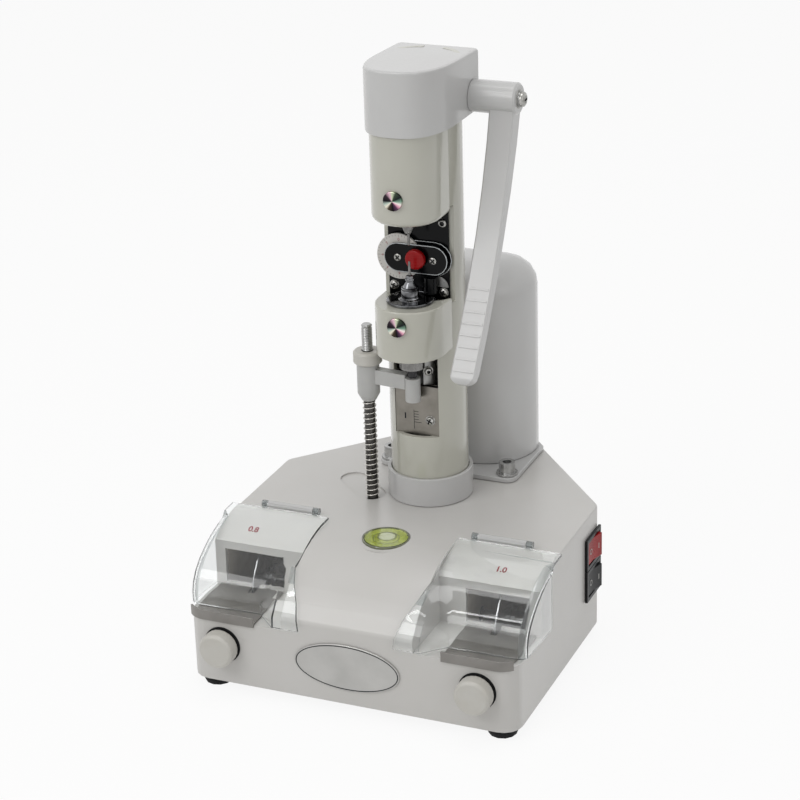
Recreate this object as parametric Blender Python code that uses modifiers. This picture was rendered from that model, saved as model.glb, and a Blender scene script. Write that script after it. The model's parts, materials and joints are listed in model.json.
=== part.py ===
"""Bench lens drilling machine with two slotting stations, modelled piece by piece.

The machine frame has X to the right, Y to the back and Z up. X = 0 is the plane of symmetry,
Y = 0 is the axis of the column, and Z = 0 is the surface the rubber feet stand on.
All sizes are in metres.
"""
import math

import bmesh
import bpy
from mathutils import Matrix, Vector

# Clearances
FIT = 0.0003            # gap between two touching pieces
OVERRUN = 0.002         # how far a cutter runs past the face that it opens
RUNNING = 0.0004        # gap round a piece that turns or slides
OVERLAP = 0.001         # how deep two shapes of one casting run into each other

# Numbers of steps on round shapes
FINE_STEPS = 32
ROUND_STEPS = 24
SMALL_STEPS = 12
TINY_STEPS = 8
CORNER_STEPS = 4

# Base casing
BASE_HALF_WIDTH = 0.125
BASE_FRONT = -0.160
BASE_SIDE_MARGIN = 0.0150
BASE_REAR_MARGIN = 0.0028
BASE_REAR_HALF_WIDTH = 0.035
BASE_BOTTOM = 0.008
BASE_TOP = 0.104
BASE_CORNER = 0.014
BASE_REAR_CORNER = 0.009
BASE_WALL = 0.003
BASE_EDGE = 0.0025
NOSE_RADIUS = 0.088
NOSE_DEPTH = 0.0720
NOSE_START = BASE_FRONT + NOSE_DEPTH
NOSE_STEPS = 6

# Slotting stations in the front corners
STATION_WIDTH = 0.0750
STATION_INNER = BASE_HALF_WIDTH - STATION_WIDTH
STATION_DEPTH = 0.0505
STATION_BACK = BASE_FRONT + STATION_DEPTH
STATION_HEIGHT = 0.0460
STATION_FLOOR = BASE_TOP - STATION_HEIGHT
STATION_ROOF_SHAPE = ((0.0, 0.0110), (0.0075, 0.0068), (0.0175, 0.0028), (0.0350, -0.0003))
STATION_ROOF = tuple((STATION_BACK + back, BASE_TOP - drop) for back, drop in STATION_ROOF_SHAPE)
STATION_CENTRE_MARGIN = 0.0314
STATION_CENTRE = BASE_HALF_WIDTH - STATION_CENTRE_MARGIN
WINDOW_WIDTH = 0.0470
WINDOW_SILL_HEIGHT = 0.0030
WINDOW_SILL = STATION_FLOOR + WINDOW_SILL_HEIGHT
WINDOW_HEIGHT = 0.0260
WINDOW_HEAD = WINDOW_SILL + WINDOW_HEIGHT
DISC_SLOT = 0.0050
DISC_SLOT_DEPTH = 0.0410
DISC_SLOT_FRONT = BASE_FRONT + DISC_SLOT_DEPTH

# Cutter disc, arbor and motor
DISC_RADIUS = 0.0375
DISC_DEPTH = 0.0810
DISC_Y = BASE_FRONT + DISC_DEPTH
DISC_DROP = 0.0060
DISC_Z = STATION_FLOOR - DISC_DROP
DISC_THICKNESS = {"left": 0.0008, "right": 0.0010}
DISC_BORE = 0.0040
ARBOR_RADIUS = 0.0034
ARBOR_FLANGE_RADIUS = 0.0100
ARBOR_FLANGE_THICKNESS = 0.0030
ARBOR_NUT_RADIUS = 0.0065
ARBOR_NUT_LENGTH = 0.0050
ARBOR_NUT_SIDES = 6
MOTOR_RADIUS = 0.0180
MOTOR_LENGTH = 0.0440
MOTOR_BOSS_RADIUS = 0.0070
MOTOR_BOSS_LENGTH = 0.0030
MOTOR_FOOT_WIDTH = 0.0300
MOTOR_FOOT_LENGTH = 0.0320
SPLASH_WIDTH = 0.0490
SPLASH_WALL = 0.0010
SPLASH_BOTTOM = 0.0108
SPLASH_START_DEPTH = 0.0395
SPLASH_FRONT = BASE_FRONT + SPLASH_START_DEPTH
SPLASH_END_DEPTH = 0.1215
SPLASH_REAR = BASE_FRONT + SPLASH_END_DEPTH
SPLASH_TOP_DROP = 0.0115
SPLASH_TOP = BASE_TOP - SPLASH_TOP_DROP
SPLASH_FRONT_DROP = 0.0040
SPLASH_FRONT_TOP = SPLASH_TOP - SPLASH_FRONT_DROP
SPLASH_SLOPE = 0.0110
SPLASH_SHAFT_HOLE = 0.0060

# Drip trays
TRAY_INNER_MARGIN = 0.0538
TRAY_INNER = BASE_HALF_WIDTH - TRAY_INNER_MARGIN
TRAY_OUTER_MARGIN = 0.0040
TRAY_OUTER = BASE_HALF_WIDTH - TRAY_OUTER_MARGIN
TRAY_THICKNESS = 0.0015
TRAY_CORNER_MARGIN = 0.0010
TRAY_CORNER = BASE_CORNER - TRAY_CORNER_MARGIN
TRAY_LIP_RISE = 0.0060
TRAY_LIP_TOP = STATION_FLOOR + TRAY_LIP_RISE
TRAY_LIP_DROP = 0.0015
TRAY_LIP_BOTTOM = STATION_FLOOR - TRAY_LIP_DROP
TRAY_LIP_THICKNESS = 0.0015
TRAY_LIP_SWEEP = 48.0
TRAY_BACK_GAP = 0.0010

# Clear visors
VISOR_SIDE_GAP = 0.0006
VISOR_INNER = STATION_INNER + VISOR_SIDE_GAP
VISOR_STAND_OFF = 0.0030
VISOR_OUTER = BASE_HALF_WIDTH + VISOR_STAND_OFF
VISOR_WALL = 0.0020
VISOR_EDGE = 0.0060
VISOR_SHAPE = ((0.0870, -0.0025), (0.0750, -0.0023), (0.0670, -0.0016), (0.0570, 0.0002), (0.0470, 0.0034),
               (0.0370, 0.0078), (0.0270, 0.0135), (0.0190, 0.0205), (0.0138, 0.0285), (0.0120, 0.0360),
               (0.0120, 0.0437))
VISOR_PROFILE = tuple((BASE_FRONT + back, BASE_TOP - drop) for back, drop in VISOR_SHAPE)
VISOR_SKIRT_STEPS = 2
VISOR_SKIRT_DROP = 0.0010
VISOR_SKIRT_BOTTOM = STATION_FLOOR - VISOR_SKIRT_DROP
VISOR_WING_STEPS = 6
VISOR_WING_WIDTHS = (0.0006, 0.0044, 0.0101, 0.0134, 0.0146)
VISOR_WING_LIFT = 0.0032
VISOR_WING_PROUD = 0.0034
VISOR_WING_FRONT = BASE_FRONT - VISOR_WING_PROUD
VISOR_WING_RISE = 0.0025
VISOR_WING_BOTTOM = STATION_FLOOR + VISOR_WING_RISE
VISOR_WING_TURNS = (29.4, 38.0, 46.5, 54.9)
VISOR_FLAT_WIDTH = 0.0054
VISOR_BLEND_START = VISOR_INNER + VISOR_FLAT_WIDTH
VISOR_BLEND_WIDTH = 0.0160
VISOR_BLEND_END = VISOR_BLEND_START + VISOR_BLEND_WIDTH

# Visor hinges
HINGE_DEPTH = 0.0910
HINGE_Y = BASE_FRONT + HINGE_DEPTH
HINGE_RISE = 0.0034
HINGE_Z = BASE_TOP + HINGE_RISE
HINGE_KNUCKLE = 0.0027
HINGE_BORE = 0.0015
HINGE_PIN_RADIUS = 0.0011
HINGE_MARGIN = 0.0425
HINGE_CENTRE = BASE_HALF_WIDTH - HINGE_MARGIN
HINGE_BLOCK_LENGTH = 0.0360
HINGE_LUG_LENGTH = 0.0045
HINGE_LEAF_THICKNESS = 0.0010
HINGE_LEAF_DEPTH = 0.0080
HINGE_OPEN = 100.0

# Knobs on the front
KNOB_MARGIN = 0.0278
KNOB_X = BASE_HALF_WIDTH - KNOB_MARGIN
KNOB_DROP = 0.0201
KNOB_Z = STATION_FLOOR - KNOB_DROP
KNOB_RADIUS = 0.0132
KNOB_RING_RADIUS = 0.0110
KNOB_RING_LENGTH = 0.0020
KNOB_LENGTH = 0.0130
KNOB_EDGE = 0.0018
KNOB_STEM_RADIUS = 0.0030
KNOB_STEM_LENGTH = 0.0140
KNOB_STEM_HOLE = 0.0034
KNOB_TURN = 135.0

# Name plate, left bare
PLATE_HALF_WIDTH = 0.0400
PLATE_HALF_HEIGHT = 0.0180
PLATE_DROP = 0.0205
PLATE_Z = STATION_FLOOR - PLATE_DROP
PLATE_THICKNESS = 0.0012
PLATE_RIM = 0.0004

# Bubble level in the top
LEVEL_DEPTH = 0.0745
LEVEL_Y = BASE_FRONT + LEVEL_DEPTH
LEVEL_RADIUS = 0.0172
LEVEL_RISE = 0.0008
LEVEL_TOP = BASE_TOP + LEVEL_RISE
LEVEL_SINK = 0.0050
LEVEL_SEAT = BASE_TOP - LEVEL_SINK
LEVEL_BOSS_RADIUS = 0.0210
LEVEL_EDGE = 0.0010

# Bosses, posts and feet under the casing
BOSS_DEPTH = 0.0080
POST_RADIUS = 0.0050
POST_SIDE_MARGIN = 0.0150
POST_SIDE_DEPTH = 0.1350
POST_FRONT_X = 0.0350
POST_FRONT_DEPTH = 0.0120
POST_REAR_INSET = 0.0070
POST_REAR_MARGIN = 0.0160
POST_HOLE = 0.0016
BASE_PLATE_THICKNESS = 0.0015
SCREW_DEPTH = 0.0120
FOOT_SIDE_MARGIN = 0.0153
FOOT_FRONT_MARGIN = 0.0153
FOOT_REAR_MARGIN = 0.0320
FOOT_REAR_SHARE = 1 / 6
FOOT_REAR_X = BASE_REAR_HALF_WIDTH + (BASE_HALF_WIDTH - BASE_REAR_HALF_WIDTH) * FOOT_REAR_SHARE
FOOT_RADIUS = 0.0115
FOOT_TOP_RADIUS = 0.0100
FOOT_STEM_RADIUS = 0.0040
FOOT_STEM_HOLE = 0.0043
FOOT_STEM_LENGTH = 0.0050
FOOT_BARB_RADIUS = 0.0050

# Rocker switches on the right side
SWITCH_GAP = 0.0260
SWITCH_DROP = 0.0282
SWITCH_PITCH = 0.0253
SWITCH_Z = {"red": BASE_TOP - SWITCH_DROP, "black": BASE_TOP - SWITCH_DROP - SWITCH_PITCH}
SWITCH_BEZEL_WIDTH = 0.0310
SWITCH_BEZEL_HEIGHT = 0.0248
SWITCH_BEZEL_THICKNESS = 0.0020
SWITCH_BODY_WIDTH = 0.0270
SWITCH_Y = SPLASH_REAR + SWITCH_BODY_WIDTH / 2 + SWITCH_GAP
BASE_SIDE_REAR = SWITCH_Y + BASE_SIDE_MARGIN
SWITCH_BODY_HEIGHT = 0.0215
SWITCH_BODY_DEPTH = 0.0180
SWITCH_FRAME = 0.0030
SWITCH_POCKET_DEPTH = 0.0100
ROCKER_DEPTH = 0.0052
ROCKER_TILT = 9.0

# Mains inlet at the back
INLET_RISE = 0.0400
INLET_Z = BASE_BOTTOM + INLET_RISE
INLET_WIDTH = 0.0280
INLET_HEIGHT = 0.0220
INLET_DEPTH = 0.0220
INLET_FLANGE_WIDTH = 0.0500
INLET_FLANGE_HEIGHT = 0.0280
INLET_FLANGE_THICKNESS = 0.0020
INLET_MOUTH_WIDTH = 0.0240
INLET_MOUTH_HEIGHT = 0.0165
INLET_MOUTH_DEPTH = 0.0160
INLET_PIN_WIDTH = 0.0020
INLET_PIN_HEIGHT = 0.0040
INLET_PIN_LENGTH = 0.0130
INLET_PIN_SPREAD = 0.0070
INLET_PIN_RISE = 0.0020

# Column and its foot
COLUMN_RADIUS = 0.0285
COLUMN_WALL = 0.0035
COLLAR_WALL = 0.0030
COLLAR_RADIUS = COLUMN_RADIUS + COLLAR_WALL
COLLAR_HEIGHT = 0.0220
COLLAR_TOP = BASE_TOP + COLLAR_HEIGHT
FOOT_PLATE_THICKNESS = 0.0037
FOOT_PLATE_HALF_WIDTH = 0.0550
FOOT_PLATE_LAP = 0.0005
FOOT_PLATE_FRONT = COLUMN_RADIUS - FOOT_PLATE_LAP
FOOT_PLATE_TAPER = 0.0230
FOOT_PLATE_MARGIN = 0.0027
FOOT_PLATE_REAR_HALF_WIDTH = 0.0350
FOOT_PLATE_CORNER = 0.0080
FOOT_SCREW_X = 0.0465
FOOT_SCREW_Y = 0.0370
FOOT_SCREW_HEAD_RADIUS = 0.0062
FOOT_SCREW_HEAD_HEIGHT = 0.0080
FOOT_SCREW_RADIUS = 0.0040
FOOT_SCREW_HOLE = 0.0044
FOOT_SCREW_LENGTH = 0.0150
FOOT_SCREW_SOCKET = 0.0034
FOOT_SCREW_SOCKET_DEPTH = 0.0040
WASHER_RADIUS = 0.0083
WASHER_THICKNESS = 0.0016
WIRE_HOLE = 0.0100

# Windows in the column
FLAT_Y = -0.0100
FLAT_SINK = 0.0040
FLAT_RISE = 0.0060
SLOT_HALF_WIDTH = 0.0170
SLOT_MARGIN = 0.0015
SLOT_RISE = 0.0010
LOWER_SLOT_HALF_WIDTH = 0.0100
CARRIAGE_SLOT_HALF_WIDTH = 0.0156
CARRIAGE_SLOT_DROP = 0.0262
GEAR_SLOT_HALF_WIDTH = 0.0075
GEAR_SLOT_DROP = 0.0153

# Rear housing and transformer
HOUSING_HALF_WIDTH = 0.0520
HOUSING_GAP = 0.0165
HOUSING_FRONT = COLUMN_RADIUS + HOUSING_GAP
HOUSING_DEPTH = 0.0695
HOUSING_REAR = HOUSING_FRONT + HOUSING_DEPTH
FOOT_PLATE_REAR = HOUSING_REAR + FOOT_PLATE_MARGIN
BASE_REAR = FOOT_PLATE_REAR + BASE_REAR_MARGIN
POST_PLACES = ((BASE_HALF_WIDTH - POST_SIDE_MARGIN, BASE_FRONT + POST_SIDE_DEPTH),
               (POST_FRONT_X, BASE_FRONT + POST_FRONT_DEPTH),
               (BASE_REAR_HALF_WIDTH - POST_REAR_INSET, BASE_REAR - POST_REAR_MARGIN))
FOOT_PLACES = {"front": (BASE_HALF_WIDTH - FOOT_SIDE_MARGIN, BASE_FRONT + FOOT_FRONT_MARGIN),
               "rear": (FOOT_REAR_X, BASE_REAR - FOOT_REAR_MARGIN)}
FOOT_PLATE_SIDE_REAR = FOOT_PLATE_REAR - FOOT_PLATE_TAPER
HOUSING_FRONT_CORNER = 0.0400
HOUSING_SIDE_FLAT = 0.0020
HOUSING_REAR_CORNER = HOUSING_DEPTH - HOUSING_FRONT_CORNER - HOUSING_SIDE_FLAT
HOUSING_WALL = 0.0025
HOUSING_CROWN = ((0.0, 0.0228), (0.0010, 0.0163), (0.0045, 0.0098), (0.0105, 0.0048), (0.0180, 0.0016))
HOUSING_HEIGHT = 0.1588
HOUSING_TOP = BASE_TOP + HOUSING_HEIGHT
HOUSING_RINGS = tuple((inset, HOUSING_TOP - drop) for inset, drop in HOUSING_CROWN)
HOUSING_TOP_INSET = 0.0250
TRANSFORMER_WIDTH = 0.0620
TRANSFORMER_DEPTH = 0.0300
TRANSFORMER_HEIGHT = 0.0520
TRANSFORMER_MARGIN = 0.0335
TRANSFORMER_Y = HOUSING_REAR - TRANSFORMER_MARGIN
WINDING_WIDTH = 0.0380
WINDING_DEPTH = 0.0440
WINDING_HEIGHT = 0.0340

# Drill axis and the two heads
DRILL_Y = -0.0290
HEAD_RADIUS = 0.0254
HEAD_WALL = 0.0030
UPPER_HEAD_EDGE = 0.0055
LOWER_HEAD_EDGE = 0.0012
RIM_STEPS = 3
WORK_GAP = 0.0620
UPPER_HEAD_HEIGHT = 0.0647
UPPER_HEAD_FLOOR = 0.0040
LOWER_HEAD_RISE = 0.1220
LOWER_HEAD_BOTTOM = BASE_TOP + LOWER_HEAD_RISE
SLOT_TOP = LOWER_HEAD_BOTTOM + SLOT_RISE
LOWER_HEAD_HEIGHT = 0.0380
LOWER_HEAD_TOP = LOWER_HEAD_BOTTOM + LOWER_HEAD_HEIGHT
FLAT_BOTTOM = LOWER_HEAD_TOP - FLAT_SINK
UPPER_HEAD_BOTTOM = LOWER_HEAD_TOP + WORK_GAP
UPPER_HEAD_TOP = UPPER_HEAD_BOTTOM + UPPER_HEAD_HEIGHT
FLAT_TOP = UPPER_HEAD_BOTTOM + FLAT_RISE
SPINDLE_HOLE = 0.0056
HEAD_SCREW_RADIUS = 0.0070
HEAD_SCREW_THICKNESS = 0.0016
HEAD_SCREW_STEM_RADIUS = 0.0020
HEAD_SCREW_STEM_HOLE = 0.0023
HEAD_SCREW_STEM_LENGTH = 0.0026
HEAD_SCREW_SLOT = 0.0012
HEAD_SCREW_SLOT_DEPTH = 0.0007
HEAD_SCREW_FLAT = 0.0010
UPPER_SCREW_RISE = 0.0200
UPPER_SCREW_Z = UPPER_HEAD_BOTTOM + UPPER_SCREW_RISE
LOWER_SCREW_DROP = 0.0110
LOWER_SCREW_Z = LOWER_HEAD_TOP - LOWER_SCREW_DROP

# Cap over the top
CAP_SIDE_MARGIN = 0.0025
CAP_HALF_WIDTH = COLUMN_RADIUS + CAP_SIDE_MARGIN
CAP_NOSE = 0.0500
CAP_NOSE_CENTRE = -0.0060
CAP_REAR_MARGIN = 0.0067
CAP_REAR = COLUMN_RADIUS + CAP_REAR_MARGIN
CAP_REAR_CORNER = 0.0045
CAP_BOTTOM = UPPER_HEAD_TOP + FIT
CAP_HEIGHT = 0.0460
CAP_TOP = CAP_BOTTOM + CAP_HEIGHT
CAP_WALL = 0.0025
COLUMN_TOP = CAP_TOP - CAP_WALL - FIT
CARRIAGE_SLOT_TOP = COLUMN_TOP - CARRIAGE_SLOT_DROP
CAP_EDGE = 0.0022
CAP_NOSE_STEPS = 18
CAP_NOSE_FULLNESS = 0.8  # the power that squares the nose: 1 gives an ellipse

# Lever, its shaft and the feed gear
LEVER_Y = 0.0200
LEVER_RISE = 0.0123
LEVER_Z = CAP_BOTTOM + LEVER_RISE
GEAR_SLOT_BOTTOM = LEVER_Z - GEAR_SLOT_DROP
LEVER_HUB_RADIUS = 0.0115
LEVER_HUB_START = CAP_HALF_WIDTH + FIT
LEVER_HUB_LENGTH = 0.0342
LEVER_HUB_END = LEVER_HUB_START + LEVER_HUB_LENGTH
LEVER_HUB_EDGE = 0.0014
LEVER_ARM_MARGIN = 0.0147
LEVER_ARM_INNER = LEVER_HUB_START + LEVER_ARM_MARGIN
LEVER_ARM_WIDTH = 0.0186
LEVER_ARM_OUTER = LEVER_ARM_INNER + LEVER_ARM_WIDTH
LEVER_ARM_ROOT = 0.0150
LEVER_ARM_THICKNESS = 0.0095
LEVER_ARM_BEND = (-0.0183, -0.0919)
LEVER_ARM_STEPS = 6
LEVER_ARM_TIP = (-0.0764, -0.1820)
LEVER_ARM_EDGE = 0.0012
LEVER_SWING = 60.0
RIDGE_COUNT = 8
RIDGE_PITCH = 0.0080
RIDGE_HEIGHT = 0.0008
RIDGE_THICKNESS = 0.0020
RIDGE_MARGIN = 0.0020
RIDGE_TIP_MARGIN = 0.0043
SHAFT_RADIUS = 0.0040
SHAFT_HOLE = 0.0044
SHAFT_END_MARGIN = 0.0045
SHAFT_INNER_END = SHAFT_END_MARGIN - COLUMN_RADIUS
PINION_PITCH_RADIUS = 0.0100
IDLER_PITCH_RADIUS = 0.0070
TOOTH_HEIGHT = 0.0011
TOOTH_CLEARANCE = 0.0002
PINION_TEETH = 20
IDLER_TEETH = 14
GEAR_HALF_WIDTH = 0.0050
IDLER_PIN_RADIUS = 0.0025
IDLER_PIN_HOLE = 0.0028
LEVER_SCREW_RADIUS = 0.0040
LEVER_SCREW_DOME = 0.0026
LEVER_WASHER_RADIUS = 0.0060
LEVER_WASHER_THICKNESS = 0.0012

# Feed carriage, motor and spindle of the upper unit
CARRIAGE_RING_RADIUS = 0.0150
CARRIAGE_RING_BORE = 0.0124
CARRIAGE_DROP = 0.0157
CARRIAGE_BOTTOM = UPPER_HEAD_TOP - CARRIAGE_DROP
CARRIAGE_HEIGHT = 0.0100
CARRIAGE_HALF_WIDTH = 0.0100
CARRIAGE_REAR = -0.0065
RACK_HALF_WIDTH = 0.0048
RACK_BOTTOM = CARRIAGE_BOTTOM
RACK_LENGTH = 0.0430
RACK_TOP = CARRIAGE_BOTTOM + RACK_LENGTH
RACK_BACK = -0.0095
RACK_TEETH = 9
UPPER_MOTOR_RADIUS = 0.0121
UPPER_MOTOR_RISE = 0.0190
UPPER_MOTOR_BOTTOM = UPPER_HEAD_BOTTOM + UPPER_MOTOR_RISE
UPPER_MOTOR_LENGTH = 0.0430
UPPER_MOTOR_TOP = UPPER_MOTOR_BOTTOM + UPPER_MOTOR_LENGTH
UPPER_MOTOR_RIM_RADIUS = 0.0145
UPPER_MOTOR_RIM_HEIGHT = 0.0020
UPPER_SPINDLE_RADIUS = 0.0025
UPPER_CHUCK_RADIUS = 0.0046
UPPER_CHUCK_NOSE_RADIUS = 0.0023
UPPER_CHUCK_DROP = 0.0115
UPPER_CHUCK_BOTTOM = UPPER_HEAD_BOTTOM - UPPER_CHUCK_DROP
UPPER_CHUCK_LENGTH = 0.0200
UPPER_CHUCK_TAPER = 0.0050
UPPER_BIT_LENGTH = 0.0095
UPPER_BIT_TIP = UPPER_CHUCK_BOTTOM - UPPER_BIT_LENGTH
UPPER_BIT_RADIUS = 0.0010

# Lower unit: lens rest, quill, spindle
REST_FLANGE_RADIUS = 0.0170
REST_FLANGE_THICKNESS = 0.0022
REST_DISH_RADIUS = 0.0135
REST_DISH_DEPTH = 0.0008
REST_BARREL_RADIUS = 0.0076
REST_BARREL_HEIGHT = 0.0086
REST_BARREL_TOP = LOWER_HEAD_TOP + REST_BARREL_HEIGHT
REST_CONE_RADIUS = 0.0052
REST_CONE_HEIGHT = 0.0044
REST_CONE_TOP = REST_BARREL_TOP + REST_CONE_HEIGHT
REST_NECK_RADIUS = 0.0031
REST_NECK_HEIGHT = 0.0062
REST_TOP = REST_CONE_TOP + REST_NECK_HEIGHT
REST_BORE = 0.0020
QUILL_RADIUS = 0.0090
QUILL_DROP = 0.0126
QUILL_BOTTOM = LOWER_HEAD_BOTTOM - QUILL_DROP
QUILL_SINK = 0.0060
QUILL_TOP = LOWER_HEAD_TOP - QUILL_SINK
QUILL_HOLE = 0.0094
LOWER_SPINDLE_RADIUS = 0.0015
LOWER_BIT_RADIUS = 0.0009
LOWER_BIT_RISE = 0.0108
LOWER_BIT_TIP = REST_TOP + LOWER_BIT_RISE
LOWER_BIT_SINK = 0.0012
LOWER_BIT_START = REST_TOP - LOWER_BIT_SINK

# Gauge between the heads
BACK_PLATE_HALF_WIDTH = 0.0232
BACK_PLATE_THICKNESS = 0.0015
BACK_PLATE_MARGIN = 0.0006
POST_X = 0.0105
POST_SIZE_RADIUS = 0.0050
POST_DROP = 0.0115
GAUGE_RISE = 0.0275
GAUGE_Z = LOWER_HEAD_TOP + GAUGE_RISE
POST_TOP = GAUGE_Z - POST_DROP
GAUGE_SCREW_X = 0.0134
GAUGE_REAR_RADIUS = 0.0126
GAUGE_FRONT_RADIUS = 0.0108
GAUGE_PLATE_THICKNESS = 0.0016
DIAL_RADIUS = 0.0170
DIAL_THICKNESS = 0.0018
BUTTON_RADIUS = 0.0074
BUTTON_LENGTH = 0.0042
BUTTON_STEM_RADIUS = 0.0018
BUTTON_STEM_HOLE = 0.0021
BUTTON_TRAVEL = 0.0012
BUTTON_STEM_REACH = 0.0006
BUTTON_X = 0.0012
BUTTON_RISE = 0.0010
BUTTON_Z = GAUGE_Z + BUTTON_RISE
BUTTON_EDGE = 0.0010
GAUGE_SPACER_RADIUS = 0.0036
DIAL_PIVOT_RADIUS = 0.0020
DIAL_BORE = 0.0024

# Quill clamp and scale plate in the lower window
CLAMP_HALF_WIDTH = 0.0160
CLAMP_FRONT = -0.0215
CLAMP_REAR = -0.0020
CLAMP_HEIGHT = 0.0272
CLAMP_GAP = 0.0020
CLAMP_TOP = LOWER_HEAD_BOTTOM - CLAMP_GAP
CLAMP_BOTTOM = CLAMP_TOP - CLAMP_HEIGHT
CLAMP_NOSE_STEPS = 10
SCALE_HALF_WIDTH = 0.0150
SCALE_Y = -0.0165
SCALE_THICKNESS = 0.0012
SCALE_HEIGHT = 0.0362
SCALE_GAP = 0.0006
SCALE_TOP = CLAMP_BOTTOM - SCALE_GAP
SCALE_BOTTOM = SCALE_TOP - SCALE_HEIGHT
SLOT_BOTTOM = SCALE_BOTTOM - SLOT_MARGIN
SCALE_FOOT_DEPTH = 0.0090

# Guide rod, spring, bracket and nut
ROD_X = -0.0363
ROD_Y = -0.0255
ROD_RADIUS = 0.0040
ROD_RISE = 0.0304
ROD_SINK = 0.0060
ROD_SEAT = BASE_TOP - ROD_SINK
ROD_HOLE = 0.0043
ROD_BOSS_RADIUS = 0.0080
RECESS_DEPTH = 0.0012
RECESS_RADIUS = 0.0110
RECESS_ENDS = ((-0.0620, 0.0000), (-0.0395, -0.0205))
SPRING_WIRE = 0.0012
SPRING_RADIUS = 0.0051
SPRING_CLOSED_PITCH = 0.0017
SPRING_CLOSED_TURNS = 2
SPRING_OPEN_TURNS = 15
SPRING_POINTS = 9
SPRING_SEAT_GAP = 0.0004
HUB_RADIUS = 0.0083
HUB_BORE = 0.0044
HUB_DROP = 0.0436
HUB_BOTTOM = LOWER_HEAD_BOTTOM - HUB_DROP
HUB_HEIGHT = 0.0282
HUB_TOP = HUB_BOTTOM + HUB_HEIGHT
ROD_TOP = HUB_TOP + ROD_RISE
HUB_CHAMFER = 0.0030
HUB_CHAMFER_HEIGHT = 0.0055
ARM_HALF_WIDTH = 0.0036
ARM_RISE = 0.0141
ARM_BOTTOM = HUB_BOTTOM + ARM_RISE
ARM_HEIGHT = 0.0110
ARM_TOP = ARM_BOTTOM + ARM_HEIGHT
BRACKET_END_RADIUS = 0.0056
BRACKET_END_RISE = 0.0051
BRACKET_END_BOTTOM = HUB_BOTTOM + BRACKET_END_RISE
BRACKET_END_HEIGHT = 0.0180
BRACKET_END_TOP = BRACKET_END_BOTTOM + BRACKET_END_HEIGHT
BRACKET_PIN_RADIUS = 0.0030
BRACKET_PIN_HEIGHT = 0.0075
BRACKET_PIN_STEM = 0.0015
BRACKET_PIN_STEM_LENGTH = 0.0060
BRACKET_TRAVEL = 0.0080
NUT_RADIUS = 0.0106
NUT_HEIGHT = 0.0100
NUT_CHAMFER = 0.0014

# Overall reach, for the place of the origin
FRONT_REACH = BASE_FRONT - KNOB_LENGTH - FIT
REAR_REACH = BASE_REAR + FIT + INLET_FLANGE_THICKNESS
ORIGIN_SHIFT = -(FRONT_REACH + REAR_REACH) / 2

SIDES = {"left": -1, "right": 1}

COLOURS = {
    "casing": ((0.86, 0.86, 0.84), 0.30, 0.0),
    "cream": ((0.80, 0.79, 0.70), 0.28, 0.0),
    "white": ((0.85, 0.85, 0.84), 0.35, 0.0),
    "ivory": ((0.82, 0.80, 0.74), 0.40, 0.0),
    "steel": ((0.62, 0.62, 0.63), 0.30, 1.0),
    "chrome": ((0.80, 0.80, 0.81), 0.10, 1.0),
    "dark_steel": ((0.12, 0.12, 0.13), 0.35, 1.0),
    "aluminium": ((0.60, 0.60, 0.60), 0.40, 1.0),
    "black": ((0.02, 0.02, 0.02), 0.45, 0.0),
    "red": ((0.60, 0.02, 0.02), 0.35, 0.0),
    "rubber": ((0.03, 0.03, 0.03), 0.80, 0.0),
    "clear": ((0.85, 0.90, 0.92), 0.05, 0.0),
    "level_green": ((0.55, 0.75, 0.20), 0.15, 0.0),
    "silver": ((0.70, 0.72, 0.72), 0.35, 0.6),
    "copper": ((0.60, 0.30, 0.15), 0.40, 1.0),
}


def clear_scene():
    """Remove everything that an opened file may hold."""
    for item in list(bpy.data.objects):
        bpy.data.objects.remove(item, do_unlink=True)
    for group in list(bpy.data.collections):
        bpy.data.collections.remove(group)


def collection(name):
    """Make a collection and put it in the scene."""
    group = bpy.data.collections.new(name)
    bpy.context.scene.collection.children.link(group)
    return group


def finish_for(name):
    """The Principled material of a finish, made once."""
    material = bpy.data.materials.get(name)
    if material is None:
        colour, roughness, metallic = COLOURS[name]
        material = bpy.data.materials.new(name)
        material.use_nodes = True
        shader = material.node_tree.nodes["Principled BSDF"]
        shader.inputs["Base Color"].default_value = (*colour, 1.0)
        shader.inputs["Roughness"].default_value = roughness
        shader.inputs["Metallic"].default_value = metallic
    return material


clear_scene()
PARTS = collection("lens_drilling_machine")
CUTTERS = collection("cutters")
MACHINE = bpy.data.objects.new("machine", None)
PARTS.objects.link(MACHINE)
MACHINE.location = (0.0, ORIGIN_SHIFT, 0.0)


def mirrored(side, point):
    """A point of the right-hand side, carried over to the wanted side."""
    return (SIDES[side] * point[0], *point[1:])


def add(name, mesh, finish=None, at=(0.0, 0.0, 0.0)):
    """Make an object of a mesh: a part when it has a finish, else a cutter or a guide."""
    item = bpy.data.objects.new(name, mesh)
    if finish:
        mesh.materials.clear()
        mesh.materials.append(finish_for(finish))
        PARTS.objects.link(item)
    else:
        CUTTERS.objects.link(item)
        item.hide_render = True
        item.display_type = "WIRE"
    item.parent = MACHINE
    item.location = at
    return item


def mesh_from(name, build):
    """Make a mesh from a bmesh, with its faces turned outwards."""
    mesh = bpy.data.meshes.new(name)
    bmesh.ops.recalc_face_normals(build, faces=build.faces)
    build.to_mesh(mesh)
    build.free()
    return mesh


def smooth(item, angle=math.radians(35)):
    """Shade a piece smooth and keep its corners sharp."""
    item.data.shade_smooth()
    item.data.set_sharp_from_angle(angle=angle)
    return item


def box(name, low, high, finish=None, at=(0.0, 0.0, 0.0)):
    """A box between its lowest and highest corner."""
    build = bmesh.new()
    bmesh.ops.create_cube(build, size=1.0)
    size = [b - a for a, b in zip(low, high)]
    middle = [(a + b) / 2 for a, b in zip(low, high)]
    bmesh.ops.scale(build, vec=size, verts=build.verts)
    bmesh.ops.translate(build, vec=middle, verts=build.verts)
    return add(name, mesh_from(name, build), finish, at)


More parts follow.
